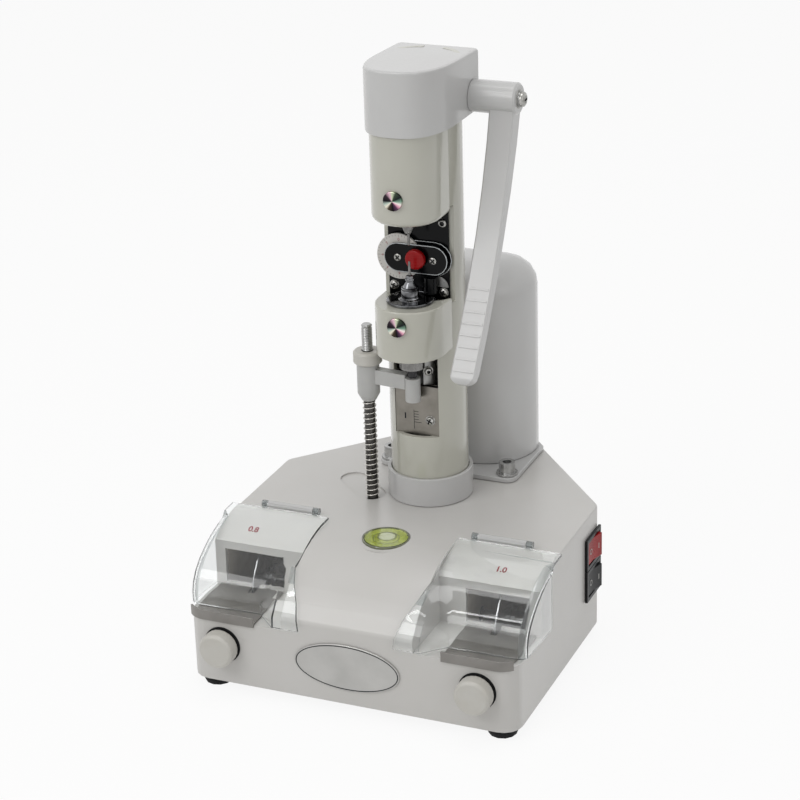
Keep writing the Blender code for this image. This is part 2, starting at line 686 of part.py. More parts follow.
def cylinder(name, radius, start, end, steps=SMALL_STEPS, finish=None, at=(0.0, 0.0, 0.0), end_radius=None):
    """A round bar or a cone between two points."""
    start, end = Vector(start), Vector(end)
    build = bmesh.new()
    bmesh.ops.create_cone(build, cap_ends=True, segments=steps, radius1=radius,
                          radius2=radius if end_radius is None else end_radius, depth=(end - start).length)
    turn = (end - start).to_track_quat("Z", "Y").to_matrix().to_4x4()
    bmesh.ops.transform(build, matrix=Matrix.Translation((start + end) / 2) @ turn, verts=build.verts)
    return add(name, mesh_from(name, build), finish, at)


def turned(name, profile, finish=None, at=(0.0, 0.0, 0.0), steps=ROUND_STEPS, turn=(0.0, 0.0, 0.0)):
    """A shape turned round Z from a profile of (radius, height), outer side from top to bottom."""
    mesh = bpy.data.meshes.new(name)
    points = [(radius, 0.0, height) for radius, height in profile]
    mesh.from_pydata(points, [(i, i + 1) for i in range(len(points) - 1)], [])
    item = add(name, mesh, finish, at)
    item.rotation_euler = turn
    screw = item.modifiers.new("turned", "SCREW")
    screw.steps = steps
    screw.render_steps = steps
    screw.use_merge_vertices = True
    screw.merge_threshold = 0.00001
    screw.use_smooth_shade = True
    return item


def arc(centre, radius, start, end, steps):
    """Points along an arc between two angles in degrees, measured from +X."""
    turns = [math.radians(start + (end - start) * step / steps) for step in range(steps + 1)]
    return [(centre[0] + radius * math.cos(t), centre[1] + radius * math.sin(t)) for t in turns]


def rounded(corners, steps=CORNER_STEPS):
    """A closed outline through corners (x, y, radius), each drawn as an arc."""
    points = []
    for index, (x, y, radius) in enumerate(corners):
        corner = Vector((x, y, 0.0))
        if not radius:
            points.append((x, y))
            continue
        before = (Vector((*corners[index - 1][:2], 0.0)) - corner).normalized()
        after = (Vector((*corners[(index + 1) % len(corners)][:2], 0.0)) - corner).normalized()
        half = before.angle(after) / 2
        centre = corner + (before + after).normalized() * radius / math.sin(half)
        start = corner + before * radius / math.tan(half) - centre
        end = corner + after * radius / math.tan(half) - centre
        for step in range(steps + 1):
            spot = centre + start.slerp(end, step / steps) * radius
            points.append((spot.x, spot.y))
    return points


def both_sides(right):
    """A closed outline from its right-hand corners, front to back, and their mirror images."""
    return list(right) + [(-corner[0], *corner[1:]) for corner in reversed(right)]


def outline_solid(name, points, low, high, finish=None, at=(0.0, 0.0, 0.0), axis="Z"):
    """A flat outline given thickness between two levels, as a closed mesh.

    The outline lies in XY for the axis Z, in YZ for the axis X and in XZ for the axis Y.
    """
    curve = bpy.data.curves.new(name, "CURVE")
    curve.dimensions = "2D"
    curve.fill_mode = "BOTH"
    curve.extrude = (high - low) / 2
    spline = curve.splines.new("POLY")
    spline.points.add(len(points) - 1)
    for spot, (x, y) in zip(spline.points, points):
        spot.co = (x, y, 0.0, 1.0)
    spline.use_cyclic_u = True
    guide = bpy.data.objects.new(name, curve)
    mesh = bpy.data.meshes.new_from_object(guide)
    bpy.data.objects.remove(guide)
    build = bmesh.new()
    build.from_mesh(mesh)
    bmesh.ops.remove_doubles(build, verts=build.verts, dist=0.000001)
    lift = Matrix.Translation((0.0, 0.0, (low + high) / 2))
    turns = {"Z": Matrix.Identity(4),
             "X": Matrix(((0, 0, 1, 0), (1, 0, 0, 0), (0, 1, 0, 0), (0, 0, 0, 1))),
             "Y": Matrix(((1, 0, 0, 0), (0, 0, 1, 0), (0, 1, 0, 0), (0, 0, 0, 1)))}
    bmesh.ops.transform(build, matrix=turns[axis] @ lift, verts=build.verts)
    bmesh.ops.dissolve_limit(build, angle_limit=math.radians(0.1), verts=build.verts, edges=build.edges)
    mesh.clear_geometry()
    mesh.name = name
    bmesh.ops.recalc_face_normals(build, faces=build.faces)
    build.to_mesh(mesh)
    build.free()
    return add(name, mesh, finish, at)


def boolean(target, operation, tools):
    """Cut tools from a target, or join them on, in one exact Boolean."""
    modifier = target.modifiers.new(operation.lower(), "BOOLEAN")
    modifier.operation = operation
    modifier.solver = "EXACT"
    if len(tools) == 1:
        modifier.object = tools[0]
        return target
    group = bpy.data.collections.new(f"{target.name}_{operation.lower()}")
    CUTTERS.children.link(group)
    for tool in tools:
        group.objects.link(tool)
        CUTTERS.objects.unlink(tool)
    modifier.operand_type = "COLLECTION"
    modifier.collection = group
    return target


def cut(target, *tools):
    """Take tools away from a piece."""
    return boolean(target, "DIFFERENCE", tools)


def join(target, *tools):
    """Make tools one body with a piece."""
    return boolean(target, "UNION", tools)


def bevel(item, width, segments=2, angle=40):
    """Round the sharp edges of a piece."""
    modifier = item.modifiers.new("rounded edges", "BEVEL")
    modifier.width = width
    modifier.segments = segments
    modifier.limit_method = "ANGLE"
    modifier.angle_limit = math.radians(angle)
    return item


def solidify(item, wall):
    """Give a surface a wall on its inner side."""
    modifier = item.modifiers.new("wall", "SOLIDIFY")
    modifier.thickness = wall
    modifier.offset = -1.0
    modifier.use_even_offset = True
    return item


def nose_height(y):
    """Height of the casing's top at a depth: flat behind, then a quarter round down to the front."""
    if y >= NOSE_START:
        return BASE_TOP
    return BASE_TOP - NOSE_RADIUS + math.sqrt(NOSE_RADIUS ** 2 - (y - NOSE_START) ** 2)


def base_outline(inset=0.0):
    """The casing seen from above, drawn in by a distance."""
    slope = Vector((BASE_HALF_WIDTH - BASE_REAR_HALF_WIDTH, BASE_SIDE_REAR - BASE_REAR))
    bend = inset * math.tan((math.pi / 2 - math.atan2(slope.x, -slope.y)) / 2)
    side = inset * math.tan(math.atan2(slope.x, -slope.y) / 2)
    right = [(BASE_HALF_WIDTH - inset, BASE_FRONT + inset, BASE_CORNER - inset),
             (BASE_HALF_WIDTH - inset, BASE_SIDE_REAR - side, BASE_REAR_CORNER),
             (BASE_REAR_HALF_WIDTH - bend, BASE_REAR - inset, BASE_REAR_CORNER)]
    return rounded(both_sides(right))


def casing_surface():
    """The casing's outer skin, open below: side walls, flat top and quarter round front."""
    build = bmesh.new()
    floor = build.faces.new([build.verts.new((x, y, BASE_BOTTOM)) for x, y in base_outline()])
    reach = math.acos((BASE_FRONT - NOSE_START) / NOSE_RADIUS)
    stations = [NOSE_START + NOSE_RADIUS * math.cos(math.pi / 2 + (reach - math.pi / 2) * step / NOSE_STEPS)
                for step in range(NOSE_STEPS)]
    for y in stations:
        bmesh.ops.bisect_plane(build, geom=build.verts[:] + build.edges[:] + build.faces[:],
                               plane_co=(0.0, y, 0.0), plane_no=(0.0, 1.0, 0.0))
    grown = bmesh.ops.extrude_face_region(build, geom=build.faces[:], use_keep_orig=False)
    top = [v for v in grown["geom"] if isinstance(v, bmesh.types.BMVert)]
    for vert in top:
        vert.co.z = nose_height(vert.co.y)
    bmesh.ops.delete(build, geom=[f for f in build.faces if all(v.co.z == f.verts[0].co.z
                                                                and v not in top for v in f.verts)],
                     context="FACES")
    bmesh.ops.recalc_face_normals(build, faces=build.faces)
    top_faces = {f for f in build.faces if all(v in top for v in f.verts)}
    rim = [e for e in build.edges if len(e.link_faces) == 2 and len(top_faces & set(e.link_faces)) == 1]
    bmesh.ops.bevel(build, geom=rim, offset=BASE_EDGE, offset_type="OFFSET", segments=2, profile=0.5,
                    affect="EDGES", clamp_overlap=True, material=-1)
    mesh = bpy.data.meshes.new("base_shell")
    build.to_mesh(mesh)
    build.free()
    return mesh


def station_block(side):
    """The block that a station is cut from: its floor, back wall, inner wall and roof in one."""
    sign = SIDES[side]
    half_wall = BASE_WALL / 2
    inner = STATION_INNER - BASE_WALL
    outer = BASE_HALF_WIDTH - half_wall
    front = BASE_FRONT + half_wall
    back = STATION_BACK + BASE_WALL
    low = STATION_FLOOR - BASE_WALL
    plan = rounded([(inner, front, 0.0), (outer, front, BASE_CORNER - half_wall), (outer, NOSE_START / 2, 0.0),
                    (inner, NOSE_START / 2, 0.0)])
    block = outline_solid(f"station_block_{side}", [(sign * x, y) for x, y in plan], low, BASE_TOP + OVERRUN)
    radius = NOSE_RADIUS - half_wall
    last = math.asin((front - NOSE_START) / radius)
    crown = [(NOSE_START + radius * math.sin(last * step / NOSE_STEPS),
              BASE_TOP - NOSE_RADIUS + radius * math.cos(last * step / NOSE_STEPS)) for step in range(NOSE_STEPS + 1)]
    roof = [(max(y, back), z - BASE_WALL) for y, z in STATION_ROOF[:-1]]
    end = (STATION_ROOF[-1][0], BASE_TOP - half_wall)
    profile = [(back, low), *roof, end, *crown, (front, low)]
    side_view = outline_solid(f"station_profile_{side}", profile,
                              *sorted((sign * (inner - OVERRUN), sign * (outer + OVERRUN))), axis="X")
    return boolean(block, "INTERSECT", [side_view])


def station_cutters(side):
    """The open pocket of a station, its window and the slot that the disc stands in."""
    sign = SIDES[side]
    outside = BASE_HALF_WIDTH + OVERRUN
    above = BASE_TOP + OVERRUN
    ahead = BASE_FRONT - OVERRUN
    profile = [(ahead, STATION_FLOOR), (STATION_BACK, STATION_FLOOR), *STATION_ROOF,
               (STATION_ROOF[-1][0], above), (ahead, above)]
    pocket = outline_solid(f"station_pocket_{side}", profile, *sorted((sign * STATION_INNER, sign * outside)),
                           axis="X")
    middle = sign * STATION_CENTRE
    window = box(f"station_window_{side}",
                 (middle - WINDOW_WIDTH / 2, STATION_BACK - OVERRUN, WINDOW_SILL),
                 (middle + WINDOW_WIDTH / 2, STATION_BACK + BASE_WALL + OVERRUN, WINDOW_HEAD))
    slot = box(f"disc_slot_{side}", (middle - DISC_SLOT / 2, DISC_SLOT_FRONT, STATION_FLOOR - 2 * BASE_WALL),
               (middle + DISC_SLOT / 2, STATION_BACK + BASE_WALL + OVERRUN, WINDOW_SILL + OVERLAP))
    stem = cylinder(f"knob_hole_{side}", KNOB_STEM_HOLE,
                    (sign * KNOB_X, BASE_FRONT - OVERRUN, KNOB_Z),
                    (sign * KNOB_X, BASE_FRONT + BASE_WALL + OVERRUN, KNOB_Z), TINY_STEPS)
    return join(pocket, window, slot), stem


def stadium(ends, radius, steps=8):
    """An oblong outline round two centres."""
    (x0, y0), (x1, y1) = ends
    turn = math.degrees(math.atan2(y1 - y0, x1 - x0))
    return arc((x1, y1), radius, turn - 90, turn + 90, steps) + arc((x0, y0), radius, turn + 90, turn + 270, steps)


def build_base():
    """Casing, base plate, feet and the small pieces that sit on the casing."""
    shell = add("base_shell", casing_surface(), "casing")
    solidify(shell, BASE_WALL)
    under_top = BASE_TOP - BASE_WALL / 2
    post_low = BASE_BOTTOM + BASE_PLATE_THICKNESS + FIT
    added = [station_block(side) for side in SIDES]
    added += [cylinder("level_boss", LEVEL_BOSS_RADIUS, (0.0, LEVEL_Y, LEVEL_SEAT - BASE_WALL),
                       (0.0, LEVEL_Y, under_top), ROUND_STEPS),
              cylinder("rod_boss", ROD_BOSS_RADIUS, (ROD_X, ROD_Y, ROD_SEAT - BASE_WALL), (ROD_X, ROD_Y, under_top),
                       SMALL_STEPS)]
    above = BASE_TOP + OVERRUN
    below = BASE_TOP - 2 * BASE_WALL
    taken = [cylinder("level_recess", LEVEL_RADIUS + FIT, (0.0, LEVEL_Y, LEVEL_SEAT), (0.0, LEVEL_Y, above),
                      ROUND_STEPS),
             join(outline_solid("rod_recess", stadium(RECESS_ENDS, RECESS_RADIUS), BASE_TOP - RECESS_DEPTH, above),
                  cylinder("rod_hole", ROD_HOLE, (ROD_X, ROD_Y, ROD_SEAT), (ROD_X, ROD_Y, above + OVERRUN),
                           SMALL_STEPS)),
             cylinder("wire_hole", WIRE_HOLE, (0.0, 0.0, below), (0.0, 0.0, above), SMALL_STEPS),
             box("inlet_opening", (-INLET_WIDTH / 2 - FIT, BASE_REAR - BASE_WALL - OVERRUN,
                                   INLET_Z - INLET_HEIGHT / 2 - FIT),
                 (INLET_WIDTH / 2 + FIT, BASE_REAR + OVERRUN, INLET_Z + INLET_HEIGHT / 2 + FIT))]
    for side, sign in SIDES.items():
        taken += station_cutters(side)
        spot = (sign * FOOT_SCREW_X, FOOT_SCREW_Y)
        taken.append(cylinder(f"foot_screw_hole_{side}", FOOT_SCREW_HOLE, (*spot, below), (*spot, above),
                              SMALL_STEPS))
        for index, (x, y) in enumerate(POST_PLACES):
            top = min(under_top, nose_height(y - POST_RADIUS) - BASE_WALL / 2)
            added.append(cylinder(f"post_{side}_{index}", POST_RADIUS, (sign * x, y, post_low), (sign * x, y, top),
                                  TINY_STEPS))
            taken.append(cylinder(f"post_hole_{side}_{index}", POST_HOLE, (sign * x, y, post_low - OVERRUN),
                                  (sign * x, y, post_low + SCREW_DEPTH), TINY_STEPS))
    half, tall = SWITCH_BODY_WIDTH / 2 + FIT, SWITCH_BODY_HEIGHT / 2 + FIT
    for colour, height in SWITCH_Z.items():
        taken.append(box(f"switch_opening_{colour}",
                         (BASE_HALF_WIDTH - BASE_WALL - OVERRUN, SWITCH_Y - half, height - tall),
                         (BASE_HALF_WIDTH + OVERRUN, SWITCH_Y + half, height + tall)))
    join(shell, *added)
    cut(shell, *taken)

    plate = outline_solid("base_plate", base_outline(BASE_WALL + FIT), BASE_BOTTOM,
                          BASE_BOTTOM + BASE_PLATE_THICKNESS, "steel")
    for side, sign in SIDES.items():
        for place, (x, y) in FOOT_PLACES.items():
            cut(plate, cylinder(f"foot_hole_{side}_{x}", FOOT_STEM_HOLE, (sign * x, y, BASE_BOTTOM - OVERRUN),
                                (sign * x, y, BASE_BOTTOM + BASE_PLATE_THICKNESS + OVERRUN), SMALL_STEPS))
            rubber_foot(f"rubber_foot_{place}_{side}", (sign * x, y, 0.0))
        for x, y in POST_PLACES:
            cut(plate, cylinder(f"plate_hole_{side}_{x}", POST_HOLE + FIT, (sign * x, y, BASE_BOTTOM - OVERRUN),
                                (sign * x, y, BASE_BOTTOM + BASE_PLATE_THICKNESS + OVERRUN), TINY_STEPS))

    badge = outline_solid("name_plate", [(PLATE_HALF_WIDTH * math.cos(t), PLATE_Z + PLATE_HALF_HEIGHT * math.sin(t))
                                         for t in (math.tau * i / FINE_STEPS for i in range(FINE_STEPS))],
                          BASE_FRONT - FIT - PLATE_THICKNESS, BASE_FRONT - FIT, "silver", axis="Y")
    bevel(badge, PLATE_RIM, 1)
    turned("level_vial", [(0.0, LEVEL_TOP), (LEVEL_RADIUS - LEVEL_EDGE, LEVEL_TOP),
                          (LEVEL_RADIUS, LEVEL_TOP - LEVEL_EDGE), (LEVEL_RADIUS, LEVEL_SEAT + FIT),
                          (0.0, LEVEL_SEAT + FIT)], "level_green", (0.0, LEVEL_Y, 0.0), ROUND_STEPS)


def rubber_foot(name, at):
    """A rubber foot with a barbed stem that snaps through the base plate."""
    seat = BASE_BOTTOM - FIT
    barb = BASE_BOTTOM + BASE_PLATE_THICKNESS + FIT
    profile = [(0.0, seat + FOOT_STEM_LENGTH), (FOOT_STEM_RADIUS, seat + FOOT_STEM_LENGTH),
               (FOOT_BARB_RADIUS, barb), (FOOT_STEM_RADIUS, barb), (FOOT_STEM_RADIUS, seat),
               (FOOT_RADIUS, seat), (FOOT_RADIUS, BASE_BOTTOM / 2), (FOOT_TOP_RADIUS, 0.0), (0.0, 0.0)]
    turned(name, profile, "rubber", at, SMALL_STEPS)


def build_inlet():
    """Mains inlet in the rear wall, with its three pins."""
    back = BASE_REAR + FIT
    rear = back + INLET_FLANGE_THICKNESS
    inlet = box("mains_inlet", (-INLET_WIDTH / 2, BASE_REAR - INLET_DEPTH, INLET_Z - INLET_HEIGHT / 2),
                (INLET_WIDTH / 2, back + OVERLAP, INLET_Z + INLET_HEIGHT / 2), "black")
    flange = outline_solid("inlet_flange", stadium(((-(INLET_FLANGE_WIDTH - INLET_FLANGE_HEIGHT) / 2, INLET_Z),
                                                    ((INLET_FLANGE_WIDTH - INLET_FLANGE_HEIGHT) / 2, INLET_Z)),
                                                   INLET_FLANGE_HEIGHT / 2, 5), back, rear, axis="Y")
    join(inlet, flange)
    mouth = rounded(both_sides([(INLET_MOUTH_WIDTH / 2, INLET_Z - INLET_MOUTH_HEIGHT / 2, 0.0),
                                (INLET_MOUTH_WIDTH / 2, INLET_Z + INLET_MOUTH_HEIGHT / 4, 0.0),
                                (INLET_MOUTH_WIDTH / 4, INLET_Z + INLET_MOUTH_HEIGHT / 2, 0.0)]))
    cut(inlet, outline_solid("inlet_mouth", mouth, rear - INLET_MOUTH_DEPTH, rear + OVERRUN, axis="Y"))
    start = rear - INLET_MOUTH_DEPTH - OVERLAP
    for spread, rise in ((-1, -1), (1, -1), (0, 1)):
        x = spread * INLET_PIN_SPREAD
        z = INLET_Z + rise * INLET_PIN_RISE
        join(inlet, box(f"inlet_pin_{spread}", (x - INLET_PIN_WIDTH / 2, start, z - INLET_PIN_HEIGHT / 2),
                        (x + INLET_PIN_WIDTH / 2, start + INLET_PIN_LENGTH, z + INLET_PIN_HEIGHT / 2)))


def build_switch(colour):
    """A rocker switch: housing with a bezel, and the rocker on its own axis."""
    height = SWITCH_Z[colour]
    face = BASE_HALF_WIDTH + FIT
    front = face + SWITCH_BEZEL_THICKNESS
    half, tall = SWITCH_BODY_WIDTH / 2, SWITCH_BODY_HEIGHT / 2
    housing = box(f"{colour}_switch_housing", (face - SWITCH_BODY_DEPTH, SWITCH_Y - half, height - tall),
                  (face + OVERLAP / 2, SWITCH_Y + half, height + tall), "black")
    wide, high = SWITCH_BEZEL_WIDTH / 2, SWITCH_BEZEL_HEIGHT / 2
    join(housing, box(f"{colour}_bezel", (face, SWITCH_Y - wide, height - high),
                      (front, SWITCH_Y + wide, height + high)))
    open_half, open_tall = wide - SWITCH_FRAME, high - SWITCH_FRAME
    cut(housing, box(f"{colour}_pocket", (front - SWITCH_POCKET_DEPTH, SWITCH_Y - open_half, height - open_tall),
                     (front + OVERRUN, SWITCH_Y + open_half, height + open_tall)))
    reach = open_half - RUNNING * 2
    rim = ROCKER_DEPTH - RUNNING
    tilt = math.radians(ROCKER_TILT)
    pressed = [(-ROCKER_DEPTH / 2, -reach / 4), (0.0, -reach), (rim - RUNNING, -reach)]
    raised = [(x * math.cos(2 * tilt) - y * math.sin(2 * tilt), -x * math.sin(2 * tilt) - y * math.cos(2 * tilt))
              for x, y in reversed(pressed)]
    outline = pressed + [(rim * math.cos(tilt), -rim * math.sin(tilt))] + raised
    rocker = outline_solid(f"{colour}_rocker", outline, -open_tall + RUNNING, open_tall - RUNNING, colour,
                           (front - ROCKER_DEPTH, SWITCH_Y, height))
    smooth(rocker)


def build_station(side):
    """Tray, splash box, disc, arbor, motor, visor, hinge and knob of one station."""
    sign = SIDES[side]
    middle = sign * STATION_CENTRE
    build_tray(side)
    build_splash_box(side)
    thickness = DISC_THICKNESS[side]
    disc = [(DISC_BORE, thickness / 2), (DISC_RADIUS, thickness / 2), (DISC_RADIUS, -thickness / 2),
            (DISC_BORE, -thickness / 2), (DISC_BORE, thickness / 2)]
    axis = (middle, DISC_Y, DISC_Z)
    across = (0.0, math.pi / 2, 0.0)
    turned(f"cutter_disc_{side}", disc, "steel", axis, FINE_STEPS, across)

    flange = thickness / 2 + FIT
    outer = flange + ARBOR_FLANGE_THICKNESS
    nut = outer + ARBOR_NUT_LENGTH
    inner = -(STATION_CENTRE - motor_end() - MOTOR_BOSS_LENGTH - FIT)
    arbor_profile = [(0.0, nut), (ARBOR_NUT_RADIUS, nut), (ARBOR_NUT_RADIUS, outer), (ARBOR_FLANGE_RADIUS, outer),
                     (ARBOR_FLANGE_RADIUS, flange), (ARBOR_RADIUS, flange), (ARBOR_RADIUS, -flange),
                     (ARBOR_FLANGE_RADIUS, -flange), (ARBOR_FLANGE_RADIUS, -outer), (ARBOR_RADIUS, -outer),
                     (ARBOR_RADIUS, inner), (0.0, inner)]
    turned(f"cutter_arbor_{side}", arbor_profile, "steel", axis, SMALL_STEPS, (0.0, sign * math.pi / 2, 0.0))

    far = sign * (motor_end() - MOTOR_LENGTH)
    near = sign * motor_end()
    motor = cylinder(f"cutter_motor_{side}", MOTOR_RADIUS, (far, DISC_Y, DISC_Z), (near, DISC_Y, DISC_Z),
                     ROUND_STEPS, "dark_steel")
    foot_middle = sign * (motor_end() - MOTOR_LENGTH / 2)
    join(motor, cylinder(f"motor_boss_{side}", MOTOR_BOSS_RADIUS, (near - sign * OVERLAP, DISC_Y, DISC_Z),
                         (near + sign * MOTOR_BOSS_LENGTH, DISC_Y, DISC_Z), SMALL_STEPS),
         box(f"motor_foot_{side}", (foot_middle - MOTOR_FOOT_LENGTH / 2, DISC_Y - MOTOR_FOOT_WIDTH / 2,
                                    BASE_BOTTOM + BASE_PLATE_THICKNESS + FIT),
             (foot_middle + MOTOR_FOOT_LENGTH / 2, DISC_Y + MOTOR_FOOT_WIDTH / 2, DISC_Z)))
    build_visor(side)
    build_hinge(side)
    build_knob(side)


def motor_end():
    """Distance from the middle of the machine to the end of a station motor."""
    return STATION_CENTRE - SPLASH_WIDTH / 2 - MOTOR_BOSS_LENGTH - OVERRUN


def build_tray(side):
    """Sheet metal drip tray on the station floor, with a lip over the front edge."""
    sign = SIDES[side]
    low = STATION_FLOOR + FIT
    high = low + TRAY_THICKNESS
    back = STATION_BACK - TRAY_BACK_GAP
    outer_y = BASE_FRONT - FIT
    inner_y = BASE_FRONT + OVERLAP
    corner = (BASE_HALF_WIDTH - BASE_CORNER, BASE_FRONT + BASE_CORNER)
    front_radius = BASE_CORNER + FIT + TRAY_LIP_THICKNESS
    sweep = arc(corner, front_radius, -90, -90 + TRAY_LIP_SWEEP, CORNER_STEPS)
    inside = arc(corner, BASE_CORNER + FIT, -90 + TRAY_LIP_SWEEP, -90, CORNER_STEPS)
    lip = [(TRAY_INNER, sweep[0][1]), *sweep, *inside, (TRAY_INNER, outer_y)]
    plan = rounded([(TRAY_INNER, inner_y, 0.0), (TRAY_OUTER, inner_y, TRAY_CORNER), (TRAY_OUTER, back, 0.0),
                    (TRAY_INNER, back, 0.0)])
    tray = outline_solid(f"tray_{side}", [(sign * x, y) for x, y in plan], low, high, "steel")
    strip = arc(corner, BASE_CORNER - 2 * OVERLAP, -90 + TRAY_LIP_SWEEP, -90, CORNER_STEPS)
    edge = [(TRAY_INNER, sweep[0][1]), *sweep, *strip, (TRAY_INNER, strip[-1][1])]
    join(tray, outline_solid(f"tray_edge_{side}", [(sign * x, y) for x, y in edge], low, high),
         outline_solid(f"tray_lip_{side}", [(sign * x, y) for x, y in lip], TRAY_LIP_BOTTOM, TRAY_LIP_TOP))
    slot_half = DISC_SLOT / 2
    middle = sign * STATION_CENTRE
    cut(tray, box(f"tray_slot_{side}", (middle - slot_half, DISC_SLOT_FRONT, low - OVERRUN),
                  (middle + slot_half, back + OVERRUN, high + OVERRUN)))


def build_splash_box(side):
    """Thin box round a disc, open at the window and at the slot in the station floor."""
    middle = SIDES[side] * STATION_CENTRE
    back = STATION_BACK + BASE_WALL + FIT
    ledge = STATION_FLOOR - BASE_WALL - FIT
    profile = [(SPLASH_FRONT, SPLASH_BOTTOM), (SPLASH_REAR, SPLASH_BOTTOM), (SPLASH_REAR, SPLASH_TOP),
               (back + SPLASH_SLOPE, SPLASH_TOP), (back, SPLASH_FRONT_TOP), (back, ledge), (SPLASH_FRONT, ledge)]
    half = SPLASH_WIDTH / 2
    item = outline_solid(f"splash_box_{side}", profile, middle - half, middle + half, "dark_steel", axis="X")
    build = bmesh.new()
    build.from_mesh(item.data)
    open_faces = [f for f in build.faces if abs(f.normal.x) < 0.5
                  and all(v.co.y <= back + FIT for v in f.verts)
                  and (all(v.co.z >= ledge - FIT for v in f.verts))]
    bmesh.ops.delete(build, geom=open_faces, context="FACES")
    build.to_mesh(item.data)
    build.free()
    solidify(item, SPLASH_WALL)
    sign = SIDES[side]
    near = middle - sign * (half + OVERRUN)
    far = middle - sign * (half - SPLASH_WALL - OVERRUN)
    cut(item, cylinder(f"splash_hole_{side}", SPLASH_SHAFT_HOLE, (near, DISC_Y, DISC_Z), (far, DISC_Y, DISC_Z),
                       SMALL_STEPS))


def visor_rows():
    """Rows of a visor's outer skin on the right side, from its hinge edge to its front edge."""
    hug = list(VISOR_PROFILE[:VISOR_WING_STEPS])
    lifted = NOSE_RADIUS + VISOR_WING_LIFT
    hug += [(NOSE_START - lifted * math.sin(math.radians(t)), BASE_TOP - NOSE_RADIUS
             + lifted * math.cos(math.radians(t))) for t in VISOR_WING_TURNS]
    hug.append((VISOR_WING_FRONT, VISOR_WING_BOTTOM))
    rows = []
    for index, (drop, near) in enumerate(zip(VISOR_PROFILE, hug)):
        start = VISOR_INNER
        if index >= VISOR_WING_STEPS:
            start = VISOR_INNER - VISOR_WING_WIDTHS[index - VISOR_WING_STEPS]
        edge = (start + VISOR_BLEND_START) / 2
        middle = (VISOR_BLEND_START + VISOR_BLEND_END) / 2
        columns = [start, edge, VISOR_BLEND_START, middle, VISOR_BLEND_END, VISOR_OUTER]
        row = []
        for x in columns:
            share = min(max((x - VISOR_BLEND_START) / (VISOR_BLEND_END - VISOR_BLEND_START), 0.0), 1.0)
            share = share * share * (3 - 2 * share)
            row.append((x, near[0] + (drop[0] - near[0]) * share, near[1] + (drop[1] - near[1]) * share))
        rows.append(row)
    return rows


def build_visor(side):
    """Clear visor with a skirt at its outer side, a wing at its inner side and two hinge lugs."""
    sign = SIDES[side]
    build = bmesh.new()
    rows = [[build.verts.new((sign * x, y - HINGE_Y, z - HINGE_Z)) for x, y, z in row] for row in visor_rows()]
    for upper, lower in zip(rows, rows[1:]):
        for index in range(len(upper) - 1):
            build.faces.new((upper[index], lower[index], lower[index + 1], upper[index + 1]))
    corner = build.verts.new((sign * VISOR_OUTER, rows[VISOR_SKIRT_STEPS][-1].co.y, VISOR_SKIRT_BOTTOM - HINGE_Z))
    skirt = build.faces.new([row[-1] for row in rows[VISOR_SKIRT_STEPS:]] + [corner])
    bmesh.ops.recalc_face_normals(build, faces=build.faces)
    if skirt.normal.x * sign < 0:
        bmesh.ops.reverse_faces(build, faces=build.faces)
    creases = [e for e in skirt.edges if len(e.link_faces) == 2]
    bmesh.ops.bevel(build, geom=creases, offset=VISOR_EDGE, offset_type="OFFSET", segments=3, profile=0.5,
                    affect="EDGES", clamp_overlap=True, material=-1)
    mesh = bpy.data.meshes.new(f"visor_{side}")
    build.to_mesh(mesh)
    build.free()
    visor = add(f"visor_{side}", mesh, "clear", (0.0, HINGE_Y, HINGE_Z))
    solidify(visor, VISOR_WALL)
    half = HINGE_BLOCK_LENGTH / 2
    rear = VISOR_PROFILE[0][0] - HINGE_Y
    top = VISOR_PROFILE[0][1] - HINGE_Z
    spots = (HINGE_CENTRE - half - FIT - HINGE_LUG_LENGTH, HINGE_CENTRE + half + FIT)
    for index, start in enumerate(spots):
        near, far = sorted((sign * start, sign * (start + HINGE_LUG_LENGTH)))
        at = visor.location
        join(visor, cylinder(f"visor_lug_{side}_{index}", HINGE_KNUCKLE, (near, 0.0, 0.0), (far, 0.0, 0.0),
                             TINY_STEPS, at=at),
             box(f"visor_tie_{side}_{index}", (near + FIT, rear - OVERLAP, top - VISOR_WALL + FIT),
                 (far - FIT, -HINGE_BORE - FIT, top - FIT), at=at))
        cut(visor, cylinder(f"visor_bore_{side}_{index}", HINGE_BORE, (near - OVERRUN, 0.0, 0.0),
                            (far + OVERRUN, 0.0, 0.0), TINY_STEPS, at=at))


def build_hinge(side):
    """Fixed hinge block of a visor, with the pin pressed through it and its leaf on the casing."""
    half = HINGE_BLOCK_LENGTH / 2
    reach = half + HINGE_LUG_LENGTH
    near, far = sorted((SIDES[side] * (HINGE_CENTRE - half), SIDES[side] * (HINGE_CENTRE + half)))
    ends = sorted((SIDES[side] * (HINGE_CENTRE - reach), SIDES[side] * (HINGE_CENTRE + reach)))
    low = BASE_TOP + FIT
    hinge = cylinder(f"hinge_{side}", HINGE_KNUCKLE, (near, HINGE_Y, HINGE_Z), (far, HINGE_Y, HINGE_Z),
                     TINY_STEPS, "white")
    join(hinge, box(f"hinge_leaf_{side}", (near + FIT, HINGE_Y - HINGE_LEAF_DEPTH / 4, low),
                    (far - FIT, HINGE_Y + HINGE_LEAF_DEPTH / 2, low + HINGE_LEAF_THICKNESS + OVERLAP)),
         cylinder(f"hinge_pin_{side}", HINGE_PIN_RADIUS, (ends[0], HINGE_Y, HINGE_Z), (ends[1], HINGE_Y, HINGE_Z),
                  TINY_STEPS))


